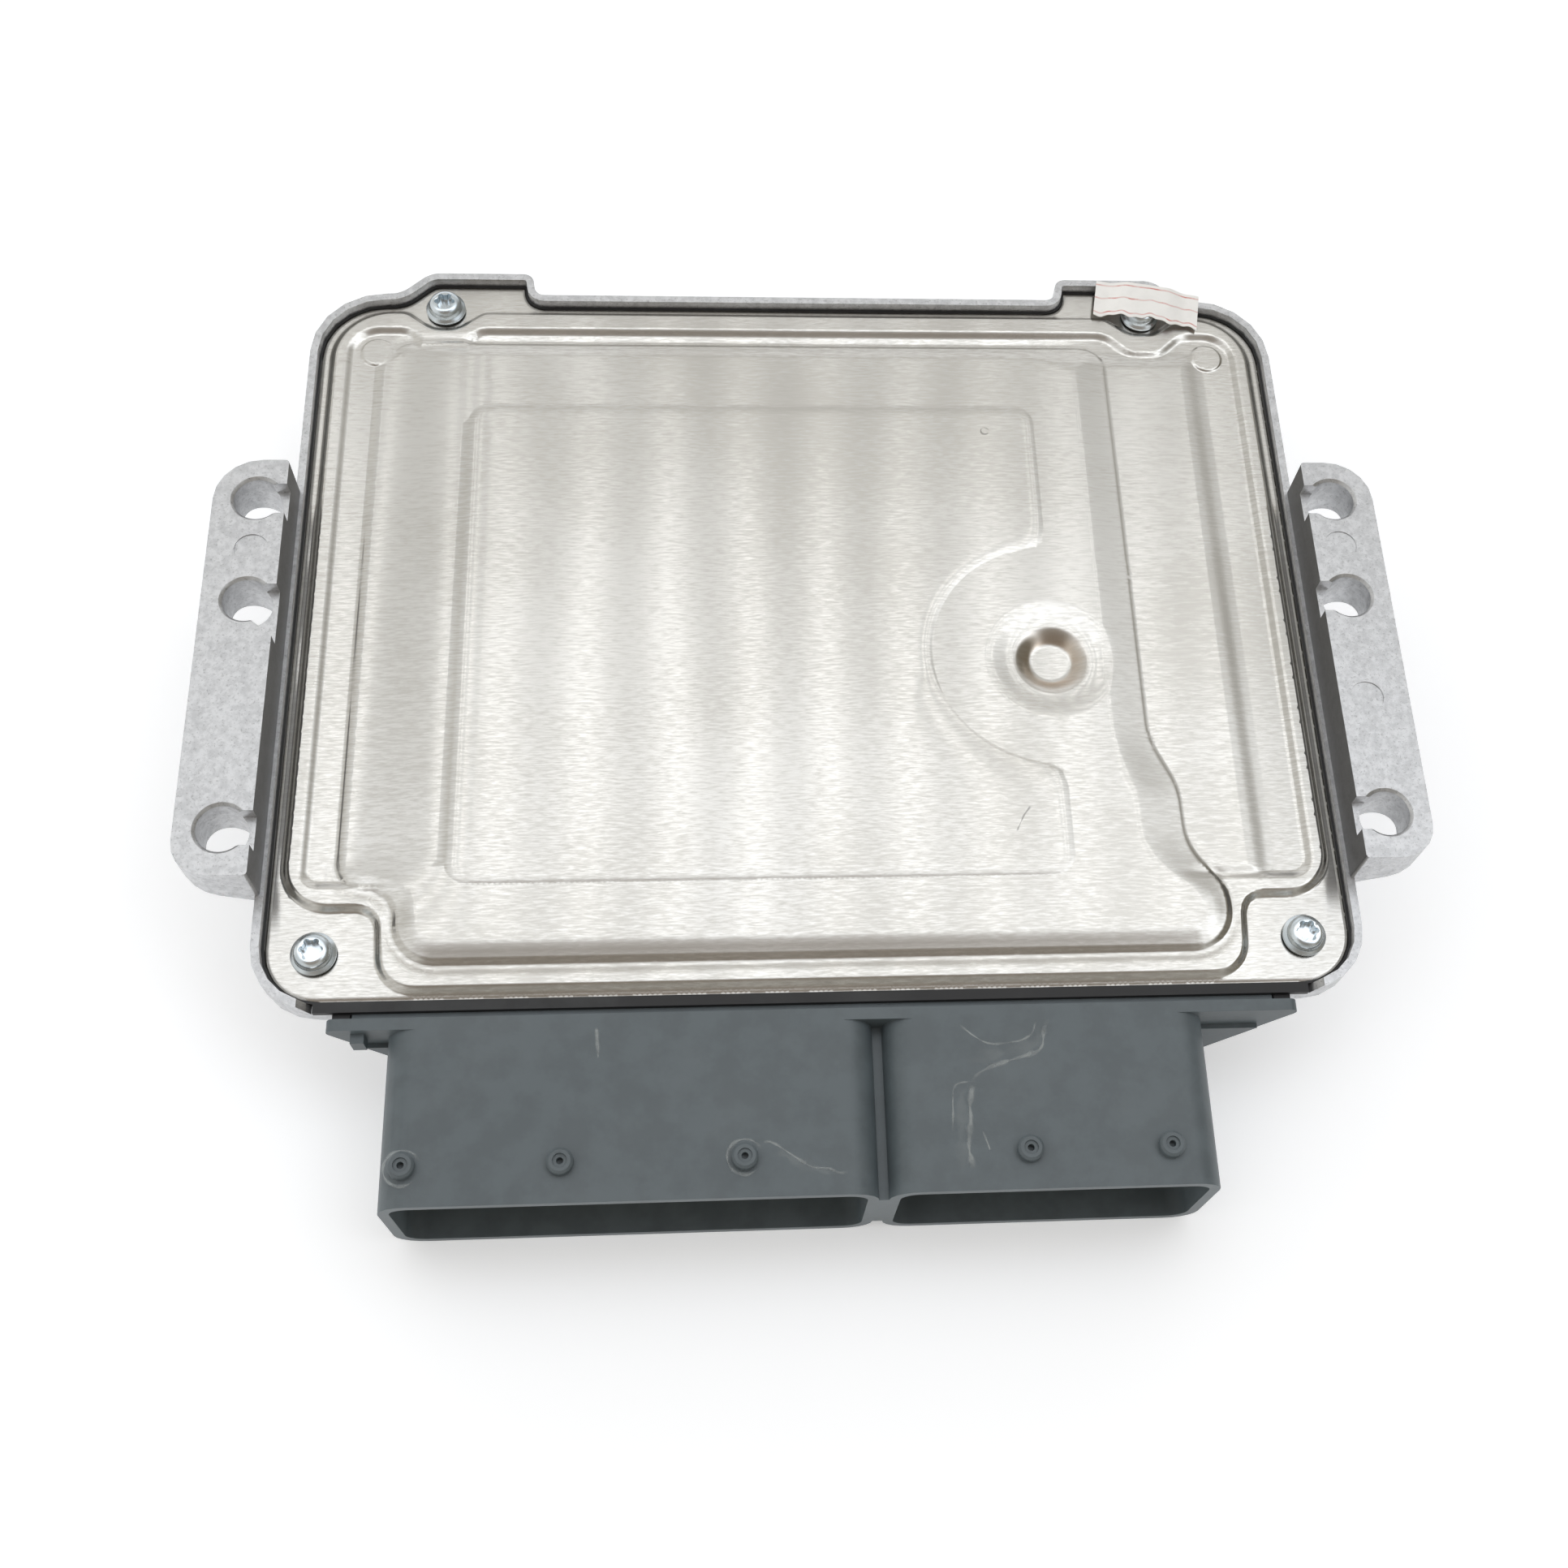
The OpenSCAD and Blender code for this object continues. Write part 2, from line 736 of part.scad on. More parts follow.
module housing() {
    color("silver")
        difference() {
            union() {
                difference() {
                    casting_outside();
                    casting_inside();
                }
                casting_posts();
            }
            ear_bores();
            underside_relief();
            at_cover_screws()
                translate([0, 0, edge_z - screw_length])
                    cylinder(d = screw_d, h = screw_length);
            at_board_posts()
                translate([0, 0, floor_wall])
                    cylinder(d = board_screw_d, h = board_lift + cut);
        }
}

// Everything below the top skin of the pressed cover, down to a base well under it.
module pressed_form(base_growth) {
    difference() {
        union() {
            difference() {
                union() {
                    translate([0, 0, edge_z - 3 * sheet])
                        linear_extrude(3 * sheet)
                            outline(rim_outline, base_growth - rim_wall - cover_gap);
                    raised(border_outline, edge_run, edge_z, border_z);
                }
                sunken(groove_outline, groove_run, groove_z, border_z);
            }
            translate([0, 0, groove_z - sheet])
                linear_extrude(ledge_panel_z - groove_z + sheet)
                    outline(ledge_outline);
            raised(panel_outline, panel_run, groove_z, panel_z);
            difference() {
                raised(field_outline, field_run, panel_z, field_z);
                translate([vent_pad_x, vent_pad_y, panel_z - 2 * cut])
                    cylinder(
                        r1 = vent_pad_r - 2 * cut * field_run / field_rise,
                        r2 = vent_pad_r + field_run * (1 + cut / field_rise),
                        h = field_rise + 3 * cut
                    );
            }
            for (side = [-1, 1])
                translate([side * dimple_x, dimple_y, groove_z - sheet])
                    cylinder(r1 = dimple_r + sheet, r2 = dimple_r - dimple_rise, h = dimple_rise + sheet);
        }
        translate([vent_x, vent_y, panel_z - vent_dish_depth])
            cylinder(d1 = vent_floor_d, d2 = vent_dish_d, h = vent_dish_depth - vent_lead_drop);
        translate([vent_x, vent_y, panel_z - vent_lead_drop])
            cylinder(
                d1 = vent_dish_d,
                d2 = vent_lead_d + (vent_lead_d - vent_dish_d) * cut / vent_lead_drop,
                h = vent_lead_drop + cut
            );
    }
}

// The pressed sheet is one faceted skin, fitted to the opening of the lip.
module cover() {
    color("gainsboro")
        resize([2 * (half_width - rim_wall - cover_gap), 0, 0])
            difference() {
                pressed_form(0);
                translate([0, 0, -sheet])
                    pressed_form(cut);
                translate([vent_x, vent_y, edge_z - 4 * sheet])
                    cylinder(d = vent_d, h = 8 * sheet);
                at_cover_screws()
                    translate([0, 0, edge_z - 2 * sheet])
                        cylinder(d = screw_d + 0.4, h = 4 * sheet);
            }
}

// Star-shaped drive socket of a screw.
module star_socket(r) {
    circle(r = 0.78 * r);
    for (a = [0 : 60 : 300])
        rotate(a)
            translate([0.76 * r, 0])
                circle(r = 0.24 * r);
}

// Pan-head screw with a flange, standing on z = 0.
module pan_screw(head_d, head_h, shank_d, shank_length) {
    r = head_d / 2;
    difference() {
        rotate_extrude()
            polygon([
                [0, 0], [r, 0], [r, 0.18 * head_h], [0.84 * r, 0.3 * head_h], [0.83 * r, 0.6 * head_h],
                [0.74 * r, 0.84 * head_h], [0.55 * r, head_h], [0, head_h]
            ]);
        translate([0, 0, 0.4 * head_h])
            linear_extrude(head_h)
                star_socket(0.52 * r);
    }
    translate([0, 0, -shank_length])
        cylinder(d = shank_d, h = shank_length + 0.1);
}

module cover_screws() {
    color("lightsteelblue")
        at_cover_screws()
            translate([0, 0, edge_z])
                pan_screw(screw_head_d, screw_head_h, screw_d, screw_length);
}

module cover_seal() {
    seal_width = 2.6;
    color("black")
        difference() {
            translate([0, 0, ledge_z])
                linear_extrude(seal_thickness + 0.6 * sheet)
                    difference() {
                        union() {
                            outline(rim_outline, -rim_wall);
                            translate([seal_clearance - front_gap_half, front_y])
                                square([2 * (front_gap_half - seal_clearance), rim_wall + cut]);
                        }
                        outline(rim_outline, -rim_wall - seal_width);
                    }
            translate([0, 0, ledge_z + seal_thickness])
                linear_extrude(2 * sheet)
                    outline(rim_outline, -rim_wall - cover_gap);
            at_cover_screws()
                translate([0, 0, ledge_z - cut])
                    cylinder(r = boss_r - 0.5, h = 4 * sheet);
        }
}

// Section of one bay, across X and Z.
module bay_section(x, width, inset) {
    translate([x, header_foot_z + bay_height / 2])
        outline([
            for (s = [[1, -1], [1, 1], [-1, 1], [-1, -1]])
                [s[0] * width / 2, s[1] * bay_height / 2, bay_corner_r]
        ], -inset);
}

// Extrudes a section of X and Z from a rear face forwards.
module forward(y, length) {
    translate([0, y, 0])
        rotate([90, 0, 0])
            linear_extrude(length)
                children();
}

// Front view of the flange, whose ends follow the tray's flanks.
module flange_face(inset, low, high, r) {
    outline([
        [tray_half_at(low), low, r],
        [tray_half_at(high), high, r],
        [-tray_half_at(high), high, r],
        [-tray_half_at(low), low, r]
    ], -inset);
}

// Places a child at every signal contact of a bay, given its first column and its row height.
module at_contacts(first_x, columns) {
    for (row = [0 : row_count - 1])
        for (column = [0 : columns - 1])
            translate([first_x + column * contact_pitch, 0, row_base_z + row * row_pitch])
                children();
}

// Straight windows through the header for every contact.
module contact_windows() {
    low_y = bay_back_y - cut;
    high_y = front_y + neck_depth + cut;
    half = contact_size / 2;
    at_contacts(large_first_x, large_bay_columns)
        block([-half, low_y, -half], [half, high_y, half]);
    at_contacts(small_first_x, small_bay_columns)
        block([-half, low_y, -half], [half, high_y, half]);
    for (row = [0 : blade_rows - 1])
        for (column = [0 : blade_columns - 1])
            translate([blade_first_x + column * blade_pitch, 0, blade_z(row)])
                block(
                    [-blade_width / 2, low_y, -blade_thickness / 2],
                    [blade_width / 2, high_y, blade_thickness / 2]
                );
}

// Height of a row of power blades, which take the two outer signal rows' levels.
function blade_z(row) = row_base_z + row * row_pitch * (row_count - 1);

module connector_header() {
    color("dimgray")
        difference() {
            union() {
                forward(flange_back_y, flange_thickness)
                    flange_face(0, flange_foot_z, header_top_z, flange_corner_r);
                forward(flange_back_y, flange_thickness + flange_pad_rise)
                    flange_face(
                        flange_pad_inset, flange_foot_z, header_top_z - flange_pad_drop, flange_corner_r
                    );
                translate([flange_corner_r - tray_half_at(lug_z), flange_front_y, lug_z])
                    block([0, -lug_size[1], 0], [lug_size[0], cut, lug_size[2]]);
                forward(front_y + neck_depth, neck_depth + gasket_thickness + cut)
                    tray_section(frame_width + neck_clearance, frame_sill_z + neck_clearance, ledge_z);
                forward(flange_front_y + cut, bay_reach + cut) {
                    bay_section(large_bay_x, large_bay_width, 0);
                    bay_section(small_bay_x, small_bay_width, 0);
                }
                block(
                    [large_bay_x + large_bay_width / 2 - cut, mouth_y, header_foot_z + bay_corner_r],
                    [
                        small_bay_x - small_bay_width / 2 + cut,
                        flange_front_y + cut,
                        header_top_z - bay_corner_r
                    ]
                );
                for (x = large_bay_bosses)
                    top_boss(bays_left_x + x);
                for (x = small_bay_bosses)
                    top_boss(small_bay_x - small_bay_width / 2 + x);
            }
            forward(bay_back_y, bay_depth + cut) {
                bay_section(large_bay_x, large_bay_width, bay_wall);
                bay_section(small_bay_x, small_bay_width, bay_wall);
            }
            contact_windows();
            for (x = large_bay_bosses)
                boss_bore(bays_left_x + x);
            for (x = small_bay_bosses)
                boss_bore(small_bay_x - small_bay_width / 2 + x);
        }
}

// Small round boss on top of a bay.
module top_boss(x) {
    foot = bay_wall / 2;
    translate([x, mouth_y + boss_setback, header_top_z - foot])
        rotate_extrude()
            polygon([
                [0, 0], [boss_top_r, 0], [boss_top_r, foot + boss_top_height - boss_chamfer],
                [boss_top_r - boss_chamfer, foot + boss_top_height], [0, foot + boss_top_height]
            ]);
}

// Blind bore in such a boss.
module boss_bore(x) {
    translate([x, mouth_y + boss_setback, header_top_z]) {
        cylinder(r = boss_bore_r, h = boss_top_height + cut);
        translate([0, 0, boss_top_height - boss_mouth_depth])
            cylinder(r = boss_mouth_r, h = boss_mouth_depth + cut);
    }
}

module connector_seal() {
    color("black")
        forward(front_y, gasket_thickness)
            difference() {
                tray_section(flange_corner_r, flange_foot_z + flange_corner_r, ledge_z);
                tray_section(frame_width, frame_sill_z, rim_z);
            }
}

module vent_membrane() {
    color("white")
        translate([vent_x, vent_y, panel_z - vent_dish_depth - sheet - 0.5])
            cylinder(d = vent_d + 4, h = 0.5);
}

module seal_label() {
    length = 20.6;
    width = 8.4;
    thickness = 0.2;
    flat_end = 2.4;
    top_half = 3.8;
    label_turn = -10;
    head_z = edge_z + screw_head_h;
    half = length / 2;
    curve = [
        [-half, rim_z], [-half + flat_end, rim_z], [-top_half, head_z],
        [top_half, head_z], [half - flat_end, rim_z], [half, rim_z]
    ];
    color("ivory")
        translate([rear_screw[0] + 1.3, rear_screw[1] + 1.5, 0])
            rotate(label_turn)
                forward(width / 2, width)
                    polygon(concat(
                        curve,
                        [for (i = [len(curve) - 1 : -1 : 0]) curve[i] + [0, thickness]]
                    ));
}

// Plan of the board, cut back at the front corners for the screw bosses.
module board_plan() {
    difference() {
        translate([-board_x, board_front_y])
            square([2 * board_x, board_rear_y - board_front_y]);
        for (side = [-1, 1])
            translate([side * front_screw[0], front_screw[1]])
                circle(r = boss_r + 1);
        for (side = [-1, 1])
            for (y = [board_post_front_y, board_post_rear_y])
                translate([side * board_post_x, y])
                    circle(d = board_screw_d);
        tail_plan(large_first_x, large_bay_columns);
        tail_plan(small_first_x, small_bay_columns);
        for (row = [0 : blade_rows - 1])
            for (column = [0 : blade_columns - 1])
                translate([blade_first_x + column * blade_pitch, bend_y(row * (row_count - 1))])
                    square([blade_width, blade_thickness], center = true);
    }
}

// Where the contacts of a row turn down to the board.
function bend_y(row) = bend_start_y + row * bend_pitch;

// Plan of the contact tails of one bay.
module tail_plan(first_x, columns) {
    for (row = [0 : row_count - 1])
        for (column = [0 : columns - 1])
            translate([first_x + column * contact_pitch, bend_y(row)])
                square(contact_size, center = true);
}

module circuit_board() {
    color("darkgreen")
        translate([0, 0, board_z])
            linear_extrude(board_thickness)
                board_plan();
}

module board_screws() {
    color("silver")
        at_board_posts()
            translate([0, 0, board_top_z])
                pan_screw(board_screw_head_d, board_screw_head_h, board_screw_d, board_lift);
}

module thermal_pads() {
    color("lightpink")
        for (offset = pad_offsets)
            translate(at_height(board_field + offset, board_z - pad_thickness / 2))
                cube([pad_size[0], pad_size[1], pad_thickness], center = true);
}

// One right-angle contact with a rectangular section, from its tip to its tail.
module contact(row, width, thickness) {
    z = row_base_z + row * row_pitch;
    y = bend_y(row);
    block(
        [-width / 2, contact_tip_y, z - thickness / 2],
        [width / 2, y + thickness / 2, z + thickness / 2]
    );
    block(
        [-width / 2, y - thickness / 2, board_z - tail_below_board],
        [width / 2, y + thickness / 2, z - thickness / 2]
    );
}

// All signal contacts of one bay.
module signal_contacts(first_x, columns) {
    for (row = [0 : row_count - 1])
        for (column = [0 : columns - 1])
            translate([first_x + column * contact_pitch, 0, 0])
                contact(row, contact_size, contact_size);
}

module large_bay_signal_pins() {
    color("goldenrod")
        signal_contacts(large_first_x, large_bay_columns);
}

module small_bay_signal_pins() {
    color("goldenrod")
        signal_contacts(small_first_x, small_bay_columns);
}

module large_bay_power_pins() {
    color("goldenrod")
        for (row = [0 : blade_rows - 1])
            for (column = [0 : blade_columns - 1])
                translate([blade_first_x + column * blade_pitch, 0, 0])
                    contact(row * (row_count - 1), blade_width, blade_thickness);
}

// Flat chip with a stepped top edge, standing on the board.
module chip(place, size) {
    translate(at_height(place, board_top_z)) {
        translate([-size[0] / 2, -size[1] / 2, 0])
            cube([size[0], size[1], chip_waist * size[2]]);
        translate([-size[0] / 2 + chip_step, -size[1] / 2 + chip_step, 0])
            cube([size[0] - 2 * chip_step, size[1] - 2 * chip_step, size[2]]);
    }
}

// Row of gull-wing leads along both long sides of a chip.
module chip_leads(place, size, pitch) {
    count = floor((size[0] - lead_length) / pitch);
    for (side = [-1, 1])
        for (i = [0 : count - 1])
            seated(
                place + [(i - (count - 1) / 2) * pitch, side * ((size[1] + lead_length) / 2 - lead_root)],
                [pitch / 2, lead_length, lead_height]
            );
}

// Plain body with its middle at a place, seated on the board.
module seated(place, size) {
    translate([place[0] - size[0] / 2, place[1] - size[1] / 2, board_top_z])
        cube(size);
}

module microcontroller() {
    color("darkslategray")
        chip(board_field + controller_offset, controller_size);
}

module flash_memory() {
    color("darkslategray") {
        chip(board_field + flash_offset, flash_size);
        chip_leads(board_field + flash_offset, flash_size, flash_lead_pitch);
    }
}

module driver_chips() {
    color("darkslategray")
        for (i = [0 : driver_count - 1]) {
            place = board_field + driver_offset + [i * driver_pitch, 0];
            chip(place, driver_size);
            chip_leads(place, driver_size, driver_lead_pitch);
        }
}

module power_transistors() {
    color("darkslategray")
        for (i = [0 : transistor_count - 1]) {
            place = post_field + transistor_offset + [i * transistor_pitch, 0];
            seated(place, transistor_size);
            seated(place + [0, transistor_tab_y], transistor_tab);
        }
}

module electrolytic_capacitors() {
    color("lightgray")
        for (i = [0 : can_count - 1]) {
            place = board_field + can_offset - [0, i * can_pitch];
            seated(place, [can_d, can_d, can_foot]);
            translate(at_height(place, board_top_z))
                cylinder(d = can_d - can_foot / 2, h = can_height);
        }
}

module choke_coil() {
    place = board_field + coil_offset;
    color("dimgray") {
        seated(place, [coil_d, coil_d, coil_flange]);
        translate(at_height(place, board_top_z)) {
            cylinder(d = coil_core_d, h = coil_height);
            translate([0, 0, coil_height - coil_flange])
                cylinder(d = coil_d, h = coil_flange);
        }
    }
}

module crystal() {
    place = board_field + crystal_offset;
    color("silver")
        translate(at_height(place, board_top_z))
            linear_extrude(crystal_size[2])
                outline([
                    for (c = [[1, -1], [1, 1], [-1, 1], [-1, -1]])
                        [c[0] * crystal_size[0] / 2, c[1] * crystal_size[1] / 2, crystal_r]
                ]);
}

module pressure_sensor() {
    color("darkslategray") {
        seated([vent_x, vent_y], sensor_size);
        translate([vent_x, vent_y, board_top_z])
            cylinder(d = sensor_port_d, h = sensor_port_h);
    }
}

module voltage_regulator() {
    color("darkslategray") {
        chip(board_field + regulator_offset, regulator_size);
        chip_leads(board_field + regulator_offset, regulator_size, driver_lead_pitch);
    }
}

module bus_transceivers() {
    color("darkslategray")
        for (i = [0 : transceiver_count - 1]) {
            place = board_field + transceiver_offset + [i * transceiver_pitch, 0];
            chip(place, transceiver_size);
            chip_leads(place, transceiver_size, transceiver_lead_pitch);
        }
}

module ceramic_capacitors() {
    color("tan")
        for (i = [0 : ceramic_count - 1])
            for (side = [-1, 1])
                seated(
                    board_field + controller_offset
                        + [(i - (ceramic_count - 1) / 2) * ceramic_pitch, side * ceramic_row],
                    ceramic_size
                );
}

module shunt_resistors() {
    color("dimgray")
        for (i = [0 : shunt_count - 1])
            seated(board_field + shunt_offset - [0, i * shunt_pitch], shunt_size);
}

module clamp_diodes() {
    color("darkslategray")
        for (i = [0 : diode_count - 1])
            seated(board_field + diode_offset + [i * diode_pitch, 0], diode_size);
}

housing();
cover();
connector_header();
cover_screws();
cover_seal();
connector_seal();
vent_membrane();
seal_label();
circuit_board();
board_screws();
thermal_pads();
large_bay_signal_pins();
large_bay_power_pins();
small_bay_signal_pins();
microcontroller();
flash_memory();
driver_chips();
power_transistors();
electrolytic_capacitors();
choke_coil();
crystal();
pressure_sensor();
voltage_regulator();
bus_transceivers();
ceramic_capacitors();
shunt_resistors();
clamp_diodes();
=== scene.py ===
"""Looks of an engine control unit: cast housing, pressed cover and moulded connector header.

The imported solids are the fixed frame. This script dresses each of them, replaces the ones whose real
surface is finer than a plain solid, and sets a plain studio around the unit.
"""

from __future__ import annotations

import logging
import math
from dataclasses import dataclass, field
from enum import Enum
from typing import Callable, Iterable, Sequence, Union

import bpy
import numpy as np
from mathutils import Matrix, Vector
from mathutils.geometry import delaunay_2d_cdt

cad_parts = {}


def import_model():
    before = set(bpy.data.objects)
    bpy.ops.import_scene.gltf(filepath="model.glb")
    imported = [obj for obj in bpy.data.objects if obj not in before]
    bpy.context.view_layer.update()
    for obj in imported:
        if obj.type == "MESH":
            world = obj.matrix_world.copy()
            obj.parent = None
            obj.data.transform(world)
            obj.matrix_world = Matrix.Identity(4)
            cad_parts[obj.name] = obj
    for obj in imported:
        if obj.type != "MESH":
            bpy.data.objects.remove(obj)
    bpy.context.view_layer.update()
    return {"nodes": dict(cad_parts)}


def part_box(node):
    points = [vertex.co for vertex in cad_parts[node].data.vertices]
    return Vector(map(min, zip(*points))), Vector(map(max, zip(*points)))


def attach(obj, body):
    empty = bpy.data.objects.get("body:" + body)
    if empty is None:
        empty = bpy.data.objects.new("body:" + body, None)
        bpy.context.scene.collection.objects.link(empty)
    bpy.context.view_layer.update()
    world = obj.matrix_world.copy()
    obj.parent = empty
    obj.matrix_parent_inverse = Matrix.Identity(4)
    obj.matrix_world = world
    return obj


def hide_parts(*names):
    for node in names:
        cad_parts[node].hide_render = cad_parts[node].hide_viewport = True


LOG = logging.getLogger("control_unit")
MM = 0.001
ROOT = "root"
GRAIN_MAP = "grain"
RULING_MAP = "ruling"
FILM_MAP = "edge"
RELIEF_STRENGTH = 0.5
FIRST_COLOUR, SECOND_COLOUR, MIXED_COLOUR = 6, 7, 2
TINY = 1e-9

Rgb = tuple[float, float, float]
Place = tuple[float, float]
Span = tuple[float, float]
Corner = tuple[float, float, float]
Graded = tuple[np.ndarray, np.ndarray]
Socket = bpy.types.NodeSocket
Source = Union[Socket, float, tuple]


class Effect(Enum):
    """Shader node groups that several finishes share."""

    GRAIN = "straight_grain"
    MOTTLE = "cast_mottle"
    DUST = "settled_dust"


# Shader building


class ShaderTree:
    """Short ways to add and link nodes in one shader tree."""

    def __init__(self, tree: bpy.types.NodeTree) -> None:
        """Clears and keeps the node tree of a material, a world or a group."""
        self.tree = tree
        tree.nodes.clear()

    def add(self, kind: str, **settings: object) -> bpy.types.Node:
        """Adds a node.

        Args:
            kind: The node's type name.
            **settings: Attributes to set on it.

        Returns:
            The new node.
        """
        node = self.tree.nodes.new(kind)
        for name, value in settings.items():
            setattr(node, name, value)
        return node

    def feed(self, target: Socket, source: Source) -> None:
        """Links a socket to the target, or sets a constant on it.

        Args:
            target: The input socket.
            source: An output socket, or a plain value.
        """
        if isinstance(source, bpy.types.NodeSocket):
            self.tree.links.new(source, target)
        else:
            target.default_value = source

    def fed(self, node: bpy.types.Node, *sources: Source) -> bpy.types.Node:
        """Feeds a node's inputs in their order.

        Args:
            node: The node.
            *sources: What its first inputs get.

        Returns:
            The same node.
        """
        for socket, source in zip(node.inputs, sources):
            self.feed(socket, source)
        return node

    def math(self, operation: str, *operands: Source) -> Socket:
        """Adds a Math node for an operation on some operands and returns its result."""
        return self.fed(self.add("ShaderNodeMath", operation=operation), *operands).outputs[0]

    def product(self, first: Socket, *factors: Source) -> Socket:
        """Multiplies values.

        Args:
            first: The first value.
            *factors: What it is multiplied by.

        Returns:
            The product's socket.
        """
        for factor in factors:
            first = self.math("MULTIPLY", first, factor)
        return first

    def length(self, first: Socket, second: Socket) -> Socket:
        """Returns the length of a vector with two parts."""
        return self.math("SQRT", self.math("ADD", self.product(first, first), self.product(second, second)))

    def span(self, value: Source, low: float, high: float, new_low: float = 0.0, new_high: float = 1.0) -> Socket:
        """Maps a value from one range to another, smoothly and clamped, and returns the result."""
        node = self.add("ShaderNodeMapRange", interpolation_type="SMOOTHSTEP")
        return self.fed(node, value, low, high, new_low, new_high).outputs[0]

    def uneven(self, mean: float, *swings: tuple[Socket, float]) -> Socket:
        """Lets a value swing about its mean.

        Args:
            mean: The mean value.
            *swings: Noises from 0 to 1, each with the whole width of its swing.

        Returns:
            The value's socket.
        """
        value: Source = mean - sum(width for _, width in swings) / 2
        for noise, width in swings:
            value = self.math("MULTIPLY_ADD", noise, width, value)
        return value

    def blend(self, share: Source, first: Source, second: Source) -> Socket:
        """Mixes two colours.

        Args:
            share: How much of the second colour shows.
            first: First colour, as a socket or an RGB value.
            second: Second colour.

        Returns:
            The mixed colour's socket.
        """
        node = self.add("ShaderNodeMix", data_type="RGBA")
        self.feed(node.inputs[0], share)
        for socket, source in ((node.inputs[FIRST_COLOUR], first), (node.inputs[SECOND_COLOUR], second)):
            self.feed(socket, source if isinstance(source, bpy.types.NodeSocket) else (*source, 1.0))
        return node.outputs[MIXED_COLOUR]

    def noise(self, vector: Socket, scale: Source, detail: float, roughness: float) -> Socket:
        """Adds a noise texture.

        Args:
            vector: Where the noise is read.
            scale: Its frequency.
            detail: Octaves.
            roughness: Weight of the finer octaves.

        Returns:
            The noise value's socket.
        """
        node = self.add("ShaderNodeTexNoise")
        for name, source in (("Vector", vector), ("Scale", scale), ("Detail", detail), ("Roughness", roughness)):
            self.feed(node.inputs[name], source)
        return node.outputs["Fac"]

    def place(self) -> Socket:
        """Returns the position on the object, which is the unit's own frame in metres."""
        return self.add("ShaderNodeTexCoord").outputs["Object"]

    def normal(self, kind: str) -> Socket:
        """Returns one kind of surface normal, by its name on the geometry node."""
        return self.add("ShaderNodeNewGeometry").outputs[kind]

    def axes(self, vector: Socket) -> Sequence[Socket]:
        """Returns the X, Y and Z parts of a vector."""
        return self.fed(self.add("ShaderNodeSeparateXYZ"), vector).outputs

    def relief(self, height: Socket, depth: float) -> Socket:
        """Makes a fine relief.

        Args:
            height: Its height, from 0 to 1.
            depth: Its depth in millimetres.

        Returns:
            The socket of the changed normal.
        """
        bump = self.add("ShaderNodeBump")
        for name, source in (("Strength", RELIEF_STRENGTH), ("Distance", depth * MM), ("Height", height)):
            self.feed(bump.inputs[name], source)
        return bump.outputs["Normal"]


